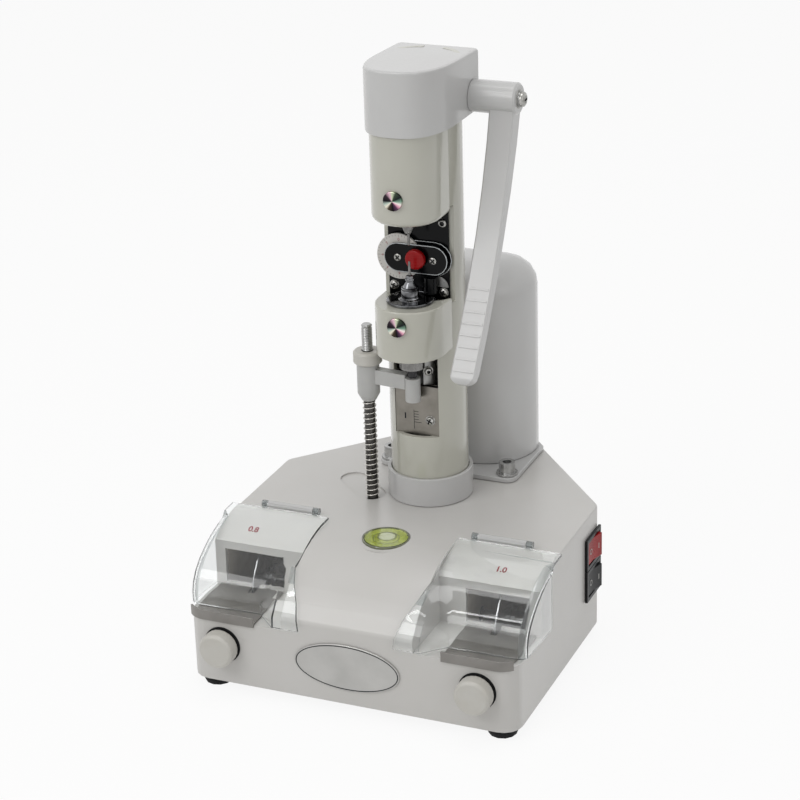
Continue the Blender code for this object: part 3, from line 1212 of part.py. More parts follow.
def build_knob(side):
    """Depth knob with a stem through the front wall; its axis points to the front."""
    front = KNOB_LENGTH - KNOB_RING_LENGTH
    profile = [(0.0, KNOB_LENGTH), (KNOB_RADIUS - KNOB_EDGE, KNOB_LENGTH), (KNOB_RADIUS, KNOB_LENGTH - KNOB_EDGE),
               (KNOB_RADIUS, KNOB_LENGTH - front), (KNOB_RING_RADIUS, KNOB_LENGTH - front),
               (KNOB_RING_RADIUS, 0.0), (KNOB_STEM_RADIUS, 0.0), (KNOB_STEM_RADIUS, -KNOB_STEM_LENGTH),
               (0.0, -KNOB_STEM_LENGTH)]
    turned(f"knob_{side}", profile, "ivory", (SIDES[side] * KNOB_X, BASE_FRONT - FIT, KNOB_Z), ROUND_STEPS,
           (math.pi / 2, 0.0, 0.0))


def build_column():
    """Column tube, its foot with the collar, and the screws that hold the foot."""
    low = BASE_TOP + FIT
    inner = COLUMN_RADIUS - COLUMN_WALL
    column = turned("column", [(inner, COLUMN_TOP), (COLUMN_RADIUS, COLUMN_TOP), (COLUMN_RADIUS, low),
                               (inner, low), (inner, COLUMN_TOP)], "cream", steps=FINE_STEPS)
    wide = COLUMN_RADIUS + OVERRUN
    cut(column,
        box("flat_cutter", (-wide, -wide, FLAT_BOTTOM), (wide, FLAT_Y, FLAT_TOP)),
        box("scale_slot_cutter", (-SLOT_HALF_WIDTH, -wide, SLOT_BOTTOM), (SLOT_HALF_WIDTH, 0.0, SLOT_TOP)),
        box("quill_slot_cutter", (-LOWER_SLOT_HALF_WIDTH, -wide, SLOT_TOP - OVERLAP),
            (LOWER_SLOT_HALF_WIDTH, 0.0, FLAT_BOTTOM + OVERLAP)),
        box("carriage_slot_cutter", (-CARRIAGE_SLOT_HALF_WIDTH, -wide, FLAT_TOP - OVERLAP),
            (CARRIAGE_SLOT_HALF_WIDTH, 0.0, CARRIAGE_SLOT_TOP)),
        box("gear_slot_cutter", (-GEAR_SLOT_HALF_WIDTH, LEVER_Y, GEAR_SLOT_BOTTOM),
            (GEAR_SLOT_HALF_WIDTH, wide, COLUMN_TOP + OVERRUN)),
        cylinder("shaft_hole_cutter", SHAFT_HOLE, (-wide, LEVER_Y, LEVER_Z), (wide, LEVER_Y, LEVER_Z),
                 SMALL_STEPS),
        cylinder("idler_hole_cutter", IDLER_PIN_HOLE, (-wide, idler_y(), LEVER_Z), (wide, idler_y(), LEVER_Z),
                 TINY_STEPS))

    top = low + FOOT_PLATE_THICKNESS
    plan = rounded(both_sides([(FOOT_PLATE_HALF_WIDTH, FOOT_PLATE_FRONT, FOOT_PLATE_CORNER),
                               (FOOT_PLATE_HALF_WIDTH, FOOT_PLATE_SIDE_REAR, 0.0),
                               (FOOT_PLATE_REAR_HALF_WIDTH, FOOT_PLATE_REAR, 0.0)]))
    foot = outline_solid("column_foot", plan, low, top, "white")
    join(foot, cylinder("collar", COLLAR_RADIUS, (0.0, 0.0, low), (0.0, 0.0, COLLAR_TOP), FINE_STEPS))
    cut(foot, cylinder("collar_bore", COLUMN_RADIUS + FIT, (0.0, 0.0, low - OVERRUN),
                       (0.0, 0.0, COLLAR_TOP + OVERRUN), FINE_STEPS))
    under = top + FIT
    washer = under + WASHER_THICKNESS
    head = washer + FOOT_SCREW_HEAD_HEIGHT
    socket = head - FOOT_SCREW_SOCKET_DEPTH
    profile = [(0.0, socket), (FOOT_SCREW_SOCKET, socket), (FOOT_SCREW_SOCKET, head),
               (FOOT_SCREW_HEAD_RADIUS, head), (FOOT_SCREW_HEAD_RADIUS, washer), (WASHER_RADIUS, washer),
               (WASHER_RADIUS, under), (FOOT_SCREW_RADIUS, under), (FOOT_SCREW_RADIUS, under - FOOT_SCREW_LENGTH),
               (0.0, under - FOOT_SCREW_LENGTH)]
    for side, sign in SIDES.items():
        spot = (sign * FOOT_SCREW_X, FOOT_SCREW_Y)
        cut(foot, cylinder(f"foot_hole_{side}", FOOT_SCREW_HOLE, (*spot, low - OVERRUN), (*spot, top + OVERRUN),
                           SMALL_STEPS))
        turned(f"foot_screw_{side}", profile, "chrome", (*spot, 0.0), SMALL_STEPS)


def housing_outline(inset):
    """The rear housing seen from above, drawn in by a distance."""
    return rounded(both_sides([(HOUSING_HALF_WIDTH - inset, HOUSING_FRONT + inset, HOUSING_FRONT_CORNER - inset),
                               (HOUSING_HALF_WIDTH - inset, HOUSING_REAR - inset, HOUSING_REAR_CORNER - inset)]),
                   2 * CORNER_STEPS)


def build_housing():
    """Rear housing with a crowned top, and the transformer under it."""
    low = BASE_TOP + FIT + FOOT_PLATE_THICKNESS + FIT
    build = bmesh.new()
    rings = [(0.0, low), *HOUSING_RINGS, (HOUSING_TOP_INSET, HOUSING_TOP)]
    loops = [[build.verts.new((x, y, z)) for x, y in housing_outline(inset)] for inset, z in rings]
    for lower, upper in zip(loops, loops[1:]):
        for index in range(len(lower)):
            build.faces.new((lower[index - 1], lower[index], upper[index], upper[index - 1]))
    build.faces.new(loops[-1])
    mesh = mesh_from("rear_housing", build)
    if sum(face.normal.z for face in mesh.polygons) < 0:
        mesh.flip_normals()
    housing = add("rear_housing", mesh, "white")
    solidify(housing, HOUSING_WALL)
    smooth(housing)

    middle = low + TRANSFORMER_HEIGHT / 2
    core = box("transformer", (-TRANSFORMER_WIDTH / 2, TRANSFORMER_Y - TRANSFORMER_DEPTH / 2, low),
               (TRANSFORMER_WIDTH / 2, TRANSFORMER_Y + TRANSFORMER_DEPTH / 2, low + TRANSFORMER_HEIGHT),
               "dark_steel")
    join(core, box("winding", (-WINDING_WIDTH / 2, TRANSFORMER_Y - WINDING_DEPTH / 2, middle - WINDING_HEIGHT / 2),
                   (WINDING_WIDTH / 2, TRANSFORMER_Y + WINDING_DEPTH / 2, middle + WINDING_HEIGHT / 2)))


def head_outline(radius, rear_gap=FIT):
    """Plan of a head: round nose about the drill axis, straight cheeks and a hollow back on the column."""
    reach = COLUMN_RADIUS + rear_gap
    meet = math.degrees(math.asin(radius / reach))
    back = arc((0.0, 0.0), reach, -90 + meet, -90 - meet, 2 * CORNER_STEPS)
    return arc((0.0, DRILL_Y), radius, -180, 0, ROUND_STEPS // 2) + back


def round_rim(head, level, radius):
    """Round the edge of a head's nose and cheeks at one level."""
    build = bmesh.new()
    build.from_mesh(head.data)
    back = COLUMN_RADIUS + OVERLAP
    rim = [e for e in build.edges if all(abs(v.co.z - level) < FIT for v in e.verts)
           and any(v.co.xy.length > back for v in e.verts)]
    bmesh.ops.bevel(build, geom=rim, offset=radius, offset_type="OFFSET", segments=RIM_STEPS, profile=0.5,
                    affect="EDGES", clamp_overlap=True, material=-1)
    build.to_mesh(head.data)
    build.free()


def build_upper_head():
    """Upper head: a round-nosed casting on the column, hollow for the motor."""
    head = outline_solid("upper_head", head_outline(HEAD_RADIUS), UPPER_HEAD_BOTTOM, UPPER_HEAD_TOP, "cream")
    round_rim(head, UPPER_HEAD_BOTTOM, UPPER_HEAD_EDGE)
    floor = UPPER_HEAD_BOTTOM + UPPER_HEAD_FLOOR
    pocket = HEAD_RADIUS - HEAD_WALL
    cut(head,
        cylinder("upper_pocket", pocket, (0.0, DRILL_Y, floor), (0.0, DRILL_Y, UPPER_HEAD_TOP + OVERRUN),
                 ROUND_STEPS),
        box("upper_back_opening", (-CARRIAGE_SLOT_HALF_WIDTH, DRILL_Y, floor),
            (CARRIAGE_SLOT_HALF_WIDTH, 0.0, UPPER_HEAD_TOP + OVERRUN)),
        cylinder("upper_spindle_hole", SPINDLE_HOLE, (0.0, DRILL_Y, UPPER_HEAD_BOTTOM - OVERRUN),
                 (0.0, DRILL_Y, floor + OVERRUN), SMALL_STEPS),
        head_screw_hole("upper", UPPER_SCREW_Z))
    smooth(head)
    head_screw("upper", UPPER_SCREW_Z)


def head_screw_hole(name, height):
    """Cutter for the stem of a round screw on the nose of a head."""
    nose = DRILL_Y - HEAD_RADIUS
    return cylinder(f"{name}_screw_hole", HEAD_SCREW_STEM_HOLE, (0.0, nose - OVERRUN, height),
                    (0.0, nose + HEAD_WALL + OVERRUN, height), TINY_STEPS)


def head_screw(name, height):
    """Round slotted screw with a spun face, seated on the nose of a head."""
    nose = DRILL_Y - HEAD_RADIUS - FIT
    profile = [(0.0, HEAD_SCREW_THICKNESS), (HEAD_SCREW_RADIUS - HEAD_SCREW_FLAT / 2, HEAD_SCREW_THICKNESS),
               (HEAD_SCREW_RADIUS, HEAD_SCREW_THICKNESS - HEAD_SCREW_FLAT / 2), (HEAD_SCREW_RADIUS, 0.0),
               (HEAD_SCREW_STEM_RADIUS, 0.0), (HEAD_SCREW_STEM_RADIUS, -HEAD_SCREW_STEM_LENGTH),
               (0.0, -HEAD_SCREW_STEM_LENGTH)]
    screw = turned(f"head_screw_{name}", profile, "chrome", (0.0, nose, height), ROUND_STEPS,
                   (math.pi / 2, 0.0, 0.0))
    front = nose - HEAD_SCREW_THICKNESS
    half = HEAD_SCREW_SLOT / 2
    slot = box(f"head_screw_slot_{name}", (-half, front - OVERRUN, height - HEAD_SCREW_RADIUS - OVERRUN),
               (half, front + HEAD_SCREW_SLOT_DEPTH, height + HEAD_SCREW_RADIUS + OVERRUN))
    cut(screw, slot)


def cap_outline(inset):
    """The cap seen from above: a long full nose, straight sides and a square back."""
    half = CAP_HALF_WIDTH - inset
    nose = CAP_NOSE - inset
    turns = [math.pi * i / CAP_NOSE_STEPS for i in range(CAP_NOSE_STEPS + 1)]
    front = [(-half * math.copysign(abs(math.cos(t)) ** CAP_NOSE_FULLNESS, math.cos(t)),
              CAP_NOSE_CENTRE - nose * abs(math.sin(t)) ** CAP_NOSE_FULLNESS) for t in turns]
    rear = CAP_REAR - inset
    corner = max(CAP_REAR_CORNER - inset, OVERLAP)
    centre = rear - corner
    right = arc((half - corner, centre), corner, 0, 90, 3)
    left = arc((-half + corner, centre), corner, 90, 180, 3)
    return front + right + left


def build_cap():
    """White cap over the feed gear, open below."""
    build = bmesh.new()
    rings = [(0.0, CAP_BOTTOM), (0.0, CAP_TOP - CAP_EDGE), (CAP_EDGE * 0.3, CAP_TOP - CAP_EDGE * 0.3),
             (CAP_EDGE, CAP_TOP)]
    loops = [[build.verts.new((x, y, z)) for x, y in cap_outline(inset)] for inset, z in rings]
    for lower, upper in zip(loops, loops[1:]):
        for index in range(len(lower)):
            build.faces.new((lower[index - 1], lower[index], upper[index], upper[index - 1]))
    build.faces.new(loops[-1])
    mesh = mesh_from("head_cap", build)
    if sum(face.normal.z for face in mesh.polygons) < 0:
        mesh.flip_normals()
    cap = add("head_cap", mesh, "white")
    solidify(cap, CAP_WALL)
    cut(cap, cylinder("cap_shaft_hole", SHAFT_HOLE, (CAP_HALF_WIDTH - CAP_WALL - OVERRUN, LEVER_Y, LEVER_Z),
                      (CAP_HALF_WIDTH + OVERRUN, LEVER_Y, LEVER_Z), SMALL_STEPS))
    smooth(cap)


def lever_line(share):
    """A point of the lever arm's centre line and its direction, from the hub (0) to the tip (1)."""
    bend, tip = Vector(LEVER_ARM_BEND), Vector(LEVER_ARM_TIP)
    spot = bend * 2 * share * (1 - share) + tip * share * share
    along = bend * 2 * (1 - 2 * share) + tip * 2 * share
    return spot, along.normalized()


def lever_arm_outline():
    """Side view of the arm: a gently bent bar, wider at the hub, with a round tip."""
    front, back = [], []
    for step in range(LEVER_ARM_STEPS + 1):
        share = step / LEVER_ARM_STEPS
        spot, along = lever_line(share)
        half = (LEVER_ARM_ROOT + (LEVER_ARM_THICKNESS - LEVER_ARM_ROOT) * min(share * 2, 1.0)) / 2
        out = Vector((along.y, -along.x)) * half
        front.append(tuple(spot + out))
        back.append(tuple(spot - out))
    turn = math.degrees(math.atan2(along.y, along.x))
    end = arc(spot, half, turn - 90, turn + 90, CORNER_STEPS)[1:-1]
    return front + end + back[::-1]


def build_lever():
    """Feed lever with its hub and grip ridges, the shaft with its pinion, and the end screw."""
    at = (0.0, LEVER_Y, LEVER_Z)
    lever = turned("lever", [(0.0, LEVER_HUB_END), (LEVER_HUB_RADIUS - LEVER_HUB_EDGE, LEVER_HUB_END),
                             (LEVER_HUB_RADIUS, LEVER_HUB_END - LEVER_HUB_EDGE),
                             (LEVER_HUB_RADIUS, LEVER_HUB_START), (0.0, LEVER_HUB_START)],
                   "white", at, ROUND_STEPS, (0.0, math.pi / 2, 0.0))
    arm = outline_solid("lever_arm", lever_arm_outline(), LEVER_ARM_INNER, LEVER_ARM_OUTER, at=at, axis="X")
    bevel(arm, LEVER_ARM_EDGE, 1)
    join(lever, arm)
    length = Vector(LEVER_ARM_TIP).length
    for index in range(RIDGE_COUNT):
        spot, along = lever_line(1.0 - (RIDGE_TIP_MARGIN + RIDGE_PITCH * index) / length)
        front = Vector((along.y, -along.x))
        spot = spot + front * LEVER_ARM_THICKNESS / 2
        side = along * RIDGE_THICKNESS / 2
        deep = front * RIDGE_HEIGHT
        corners = [spot - side - deep, spot + side - deep, spot + side / 2 + deep, spot - side / 2 + deep]
        join(lever, outline_solid(f"ridge_{index}", [tuple(c) for c in corners], LEVER_ARM_INNER + RIDGE_MARGIN,
                                  LEVER_ARM_OUTER - RIDGE_MARGIN, at=at, axis="X"))
    cut(lever, cylinder("hub_bore", SHAFT_HOLE, (LEVER_HUB_START - OVERRUN, 0.0, 0.0),
                        (LEVER_HUB_END + OVERRUN, 0.0, 0.0), SMALL_STEPS, at=at))
    smooth(lever)

    seat = LEVER_HUB_END + FIT
    washer = seat + LEVER_WASHER_THICKNESS
    dome = [(LEVER_SCREW_RADIUS * math.sin(t), washer + LEVER_SCREW_DOME * math.cos(t))
            for t in (math.pi / 2 * i / CORNER_STEPS for i in range(CORNER_STEPS + 1))]
    shaft = turned("lever_shaft", [(0.0, dome[0][1]), *dome[1:], (LEVER_WASHER_RADIUS, washer),
                                   (LEVER_WASHER_RADIUS, seat), (SHAFT_RADIUS, seat),
                                   (SHAFT_RADIUS, SHAFT_INNER_END), (0.0, SHAFT_INNER_END)],
                   "steel", at, SMALL_STEPS, (0.0, math.pi / 2, 0.0))
    join(shaft, gear("pinion", PINION_PITCH_RADIUS, PINION_TEETH, at))

    idler_at = (0.0, idler_y(), LEVER_Z)
    reach = COLUMN_RADIUS - COLUMN_WALL / 2
    idler = cylinder("idler_gear", IDLER_PIN_RADIUS, (-reach, 0.0, 0.0), (reach, 0.0, 0.0), TINY_STEPS, "steel",
                     idler_at)
    join(idler, gear("idler_teeth", IDLER_PITCH_RADIUS, IDLER_TEETH, idler_at))


def idler_y():
    """Depth of the idler's axis, in mesh with the pinion on the lever shaft."""
    return LEVER_Y - PINION_PITCH_RADIUS - IDLER_PITCH_RADIUS


def rack_pitch_y():
    """Depth of the rack's pitch line, in mesh with the idler."""
    return idler_y() - IDLER_PITCH_RADIUS


def gear(name, pitch_radius, teeth, at):
    """A toothed wheel about X, its tips just clear of the pitch circle."""
    tip = pitch_radius - TOOTH_CLEARANCE
    root = tip - TOOTH_HEIGHT
    points = []
    for index in range(teeth):
        for share, radius in ((0.0, root), (0.3, root), (0.45, tip), (0.85, tip)):
            turn = math.tau * (index + share) / teeth
            points.append((radius * math.cos(turn), radius * math.sin(turn)))
    return outline_solid(name, points, -GEAR_HALF_WIDTH, GEAR_HALF_WIDTH, at=at, axis="X")


def build_upper_unit():
    """Feed carriage with its rack, and the motor, spindle and drill that it carries."""
    top = CARRIAGE_BOTTOM + CARRIAGE_HEIGHT
    carriage = cylinder("feed_carriage", CARRIAGE_RING_RADIUS, (0.0, DRILL_Y, CARRIAGE_BOTTOM),
                        (0.0, DRILL_Y, top), ROUND_STEPS, "aluminium")
    tooth_face = rack_pitch_y() - TOOTH_CLEARANCE
    root_face = tooth_face - TOOTH_HEIGHT
    join(carriage, box("carriage_block", (-CARRIAGE_HALF_WIDTH, DRILL_Y, CARRIAGE_BOTTOM),
                       (CARRIAGE_HALF_WIDTH, CARRIAGE_REAR, top)),
         box("rack_bar", (-RACK_HALF_WIDTH, RACK_BACK, RACK_BOTTOM), (RACK_HALF_WIDTH, root_face, RACK_TOP)))
    pitch = (RACK_TOP - RACK_BOTTOM) / RACK_TEETH
    for index in range(RACK_TEETH):
        low = RACK_BOTTOM + pitch * index
        points = [(root_face - OVERLAP / 2, low), (tooth_face, low + pitch / 4), (tooth_face, low + pitch / 2),
                  (root_face - OVERLAP / 2, low + pitch * 0.75)]
        join(carriage, outline_solid(f"rack_tooth_{index}", points, -RACK_HALF_WIDTH, RACK_HALF_WIDTH, axis="X"))
    cut(carriage, cylinder("carriage_bore", CARRIAGE_RING_BORE, (0.0, DRILL_Y, CARRIAGE_BOTTOM - OVERRUN),
                           (0.0, DRILL_Y, top + OVERRUN), ROUND_STEPS))
    rim = top + FIT
    turned("upper_motor", [(0.0, rim + UPPER_MOTOR_RIM_HEIGHT), (UPPER_MOTOR_RIM_RADIUS, rim + UPPER_MOTOR_RIM_HEIGHT),
                           (UPPER_MOTOR_RIM_RADIUS, rim), (UPPER_MOTOR_RADIUS, rim),
                           (UPPER_MOTOR_RADIUS, UPPER_MOTOR_BOTTOM), (0.0, UPPER_MOTOR_BOTTOM)],
           "dark_steel", (0.0, DRILL_Y, 0.0), ROUND_STEPS)
    chuck_top = UPPER_CHUCK_BOTTOM + UPPER_CHUCK_LENGTH
    taper = UPPER_CHUCK_BOTTOM + UPPER_CHUCK_TAPER
    tip = UPPER_BIT_TIP + UPPER_BIT_RADIUS
    turned("upper_spindle", [(0.0, UPPER_MOTOR_BOTTOM - FIT), (UPPER_SPINDLE_RADIUS, UPPER_MOTOR_BOTTOM - FIT),
                             (UPPER_SPINDLE_RADIUS, chuck_top), (UPPER_CHUCK_RADIUS, chuck_top),
                             (UPPER_CHUCK_RADIUS, taper), (UPPER_CHUCK_NOSE_RADIUS, UPPER_CHUCK_BOTTOM),
                             (UPPER_BIT_RADIUS, UPPER_CHUCK_BOTTOM), (UPPER_BIT_RADIUS, tip),
                             (0.0, UPPER_BIT_TIP)], "steel", (0.0, DRILL_Y, 0.0), SMALL_STEPS)


def build_lower_unit():
    """Lower head with its chrome lens rest, and the quill and spindle inside."""
    head = outline_solid("lower_head", head_outline(HEAD_RADIUS), LOWER_HEAD_BOTTOM, LOWER_HEAD_TOP, "cream")
    round_rim(head, LOWER_HEAD_TOP, LOWER_HEAD_EDGE)
    cut(head, cylinder("quill_bore", QUILL_HOLE, (0.0, DRILL_Y, LOWER_HEAD_BOTTOM - OVERRUN),
                       (0.0, DRILL_Y, QUILL_TOP + OVERRUN), ROUND_STEPS),
        cylinder("lower_spindle_hole", LOWER_SPINDLE_RADIUS + OVERLAP, (0.0, DRILL_Y, QUILL_TOP),
                 (0.0, DRILL_Y, LOWER_HEAD_TOP + OVERRUN), SMALL_STEPS),
        head_screw_hole("lower", LOWER_SCREW_Z))
    smooth(head)
    head_screw("lower", LOWER_SCREW_Z)
    base = LOWER_HEAD_TOP + FIT
    flange = base + REST_FLANGE_THICKNESS
    dish = flange - REST_DISH_DEPTH
    turned("lens_rest", [(REST_BORE, REST_TOP), (REST_NECK_RADIUS, REST_TOP), (REST_NECK_RADIUS, REST_CONE_TOP),
                         (REST_CONE_RADIUS, REST_CONE_TOP), (REST_BARREL_RADIUS, REST_BARREL_TOP),
                         (REST_BARREL_RADIUS, dish), (REST_DISH_RADIUS, dish),
                         (REST_DISH_RADIUS + REST_DISH_DEPTH, flange), (REST_FLANGE_RADIUS, flange),
                         (REST_FLANGE_RADIUS, base), (REST_BORE, base), (REST_BORE, REST_TOP)],
           "chrome", (0.0, DRILL_Y, 0.0), ROUND_STEPS)
    turned("lower_quill", [(0.0, QUILL_TOP), (QUILL_RADIUS, QUILL_TOP), (QUILL_RADIUS, QUILL_BOTTOM),
                           (0.0, QUILL_BOTTOM)], "dark_steel", (0.0, DRILL_Y, 0.0), ROUND_STEPS)
    tip = LOWER_BIT_TIP - LOWER_BIT_RADIUS
    turned("lower_spindle", [(0.0, LOWER_BIT_TIP), (LOWER_BIT_RADIUS, tip), (LOWER_BIT_RADIUS, LOWER_BIT_START),
                             (LOWER_SPINDLE_RADIUS, LOWER_BIT_START), (LOWER_SPINDLE_RADIUS, QUILL_TOP + FIT),
                             (0.0, QUILL_TOP + FIT)], "steel", (0.0, DRILL_Y, 0.0), SMALL_STEPS)


def build_gauge():
    """Back plate, oval plates, dial wheel, button and small screws between the heads."""
    plate_back = FLAT_Y - FIT
    plate_front = plate_back - BACK_PLATE_THICKNESS
    low, high = FLAT_BOTTOM + BACK_PLATE_MARGIN, FLAT_TOP - BACK_PLATE_MARGIN
    back = box("back_plate", (-BACK_PLATE_HALF_WIDTH, plate_front, low), (BACK_PLATE_HALF_WIDTH, plate_back, high),
               "black")
    rear_front = plate_front - FIT - GAUGE_PLATE_THICKNESS
    dial_front = rear_front - FIT - DIAL_THICKNESS
    front_front = dial_front - FIT - GAUGE_PLATE_THICKNESS
    post_y = plate_front - POST_SIZE_RADIUS + OVERLAP
    post_low = LOWER_HEAD_TOP + REST_FLANGE_THICKNESS + 2 * FIT
    join(back, cylinder("gauge_post", POST_SIZE_RADIUS, (POST_X, post_y, post_low),
                        (POST_X, post_y, GAUGE_Z - GAUGE_REAR_RADIUS - FIT), SMALL_STEPS))
    ends = ((-GAUGE_SCREW_X, GAUGE_Z), (GAUGE_SCREW_X, GAUGE_Z))
    frame = outline_solid("gauge_frame", stadium(ends, GAUGE_REAR_RADIUS), rear_front, plate_front - FIT,
                          "black", axis="Y")
    dial = turned("dial_wheel", [(DIAL_BORE, DIAL_THICKNESS), (DIAL_RADIUS, DIAL_THICKNESS), (DIAL_RADIUS, 0.0),
                                 (DIAL_BORE, 0.0), (DIAL_BORE, DIAL_THICKNESS)], "white",
                  (-GAUGE_SCREW_X, rear_front - FIT, GAUGE_Z), FINE_STEPS, (math.pi / 2, 0.0, 0.0))
    smooth(dial)
    join(frame, outline_solid("gauge_front", stadium(ends, GAUGE_FRONT_RADIUS), front_front, dial_front - FIT,
                              axis="Y"),
         cylinder("gauge_spacer", GAUGE_SPACER_RADIUS, (GAUGE_SCREW_X, front_front + OVERLAP, GAUGE_Z),
                  (GAUGE_SCREW_X, rear_front + OVERLAP, GAUGE_Z), TINY_STEPS),
         cylinder("dial_pivot", DIAL_PIVOT_RADIUS, (-GAUGE_SCREW_X, front_front + OVERLAP, GAUGE_Z),
                  (-GAUGE_SCREW_X, rear_front + OVERLAP, GAUGE_Z), TINY_STEPS))
    button_rear = front_front - FIT - BUTTON_TRAVEL
    stem = -(FIT + BUTTON_TRAVEL + BUTTON_STEM_REACH)
    turned("red_button", [(0.0, BUTTON_LENGTH), (BUTTON_RADIUS - BUTTON_EDGE, BUTTON_LENGTH),
                          (BUTTON_RADIUS, BUTTON_LENGTH - BUTTON_EDGE), (BUTTON_RADIUS, 0.0),
                          (BUTTON_STEM_RADIUS, 0.0), (BUTTON_STEM_RADIUS, stem), (0.0, stem)],
           "red", (BUTTON_X, button_rear, BUTTON_Z), ROUND_STEPS, (math.pi / 2, 0.0, 0.0))
    cut(frame, cylinder("button_bore", BUTTON_STEM_HOLE, (BUTTON_X, front_front - OVERRUN, BUTTON_Z),
                        (BUTTON_X, dial_front - FIT / 2, BUTTON_Z), TINY_STEPS))


def build_clamp_and_scale():
    """Quill clamp and scale plate in the lower window."""
    nose = [(CLAMP_HALF_WIDTH * math.cos(t), CLAMP_REAR + (CLAMP_FRONT - CLAMP_REAR) * math.sin(t))
            for t in (math.pi * i / CLAMP_NOSE_STEPS for i in range(CLAMP_NOSE_STEPS + 1))]
    clamp = outline_solid("quill_clamp", nose, CLAMP_BOTTOM, CLAMP_TOP, "aluminium")
    cut(clamp, cylinder("quill_relief", QUILL_HOLE + RUNNING, (0.0, DRILL_Y, CLAMP_BOTTOM - OVERRUN),
                        (0.0, DRILL_Y, CLAMP_TOP + OVERRUN), SMALL_STEPS))
    smooth(clamp)
    rear = SCALE_Y + SCALE_THICKNESS
    scale = box("scale_plate", (-SCALE_HALF_WIDTH, SCALE_Y, SCALE_BOTTOM), (SCALE_HALF_WIDTH, rear, SCALE_TOP),
                "aluminium")
    join(scale, box("scale_foot", (-SCALE_HALF_WIDTH, SCALE_Y, SLOT_BOTTOM + FIT),
                    (SCALE_HALF_WIDTH, SCALE_Y + SCALE_FOOT_DEPTH, SCALE_BOTTOM + OVERLAP)))


def spring_points():
    """Centre line of the guide spring: closed end turns, open turns between them and straight ends."""
    low = spring_low() + SPRING_WIRE / 2
    high = HUB_BOTTOM - SPRING_SEAT_GAP - SPRING_WIRE / 2
    turns = 2 * SPRING_CLOSED_TURNS + SPRING_OPEN_TURNS
    closed = SPRING_CLOSED_PITCH * SPRING_CLOSED_TURNS
    open_pitch = (high - low - 2 * closed) / SPRING_OPEN_TURNS
    points = []
    for step in range(turns * SPRING_POINTS + 1):
        turn = step / SPRING_POINTS
        opened = min(max(turn - SPRING_CLOSED_TURNS, 0.0), SPRING_OPEN_TURNS)
        height = low + (turn - opened) * SPRING_CLOSED_PITCH + opened * open_pitch
        points.append(Vector((SPRING_RADIUS * math.cos(math.tau * turn), SPRING_RADIUS * math.sin(math.tau * turn),
                              height)))
    flat = Vector((0.0, SPRING_WIRE, 0.0))
    return [points[0] - flat, *points, points[-1] + flat]


def spring_low():
    """Lowest level of the spring, on the floor of the recess."""
    return BASE_TOP - RECESS_DEPTH + SPRING_SEAT_GAP


def least_gap(points, radius, skip):
    """Smallest distance between the surfaces of a tube's turns."""
    gap = math.inf
    for i, one in enumerate(points):
        for two in points[i + skip:]:
            gap = min(gap, (one - two).length)
    return gap - 2 * radius


def build_spring():
    """The compression spring on the guide rod, as one unbroken tube."""
    points = spring_points()
    curve = bpy.data.curves.new("rod_spring", "CURVE")
    curve.dimensions = "3D"
    curve.bevel_depth = SPRING_WIRE / 2
    curve.bevel_resolution = 1
    curve.use_fill_caps = True
    spline = curve.splines.new("POLY")
    spline.points.add(len(points) - 1)
    for spot, point in zip(spline.points, points):
        spot.co = (*point, 1.0)
    curve.materials.append(finish_for("steel"))
    spring = bpy.data.objects.new("rod_spring", curve)
    PARTS.objects.link(spring)
    spring.parent = MACHINE
    spring.location = (ROD_X, ROD_Y, 0.0)
    gap = least_gap(points, SPRING_WIRE / 2, SPRING_POINTS // 2)
    print(f"spring: {2 * SPRING_CLOSED_TURNS + SPRING_OPEN_TURNS} turns, least gap to itself {gap * 1000:.2f} mm")


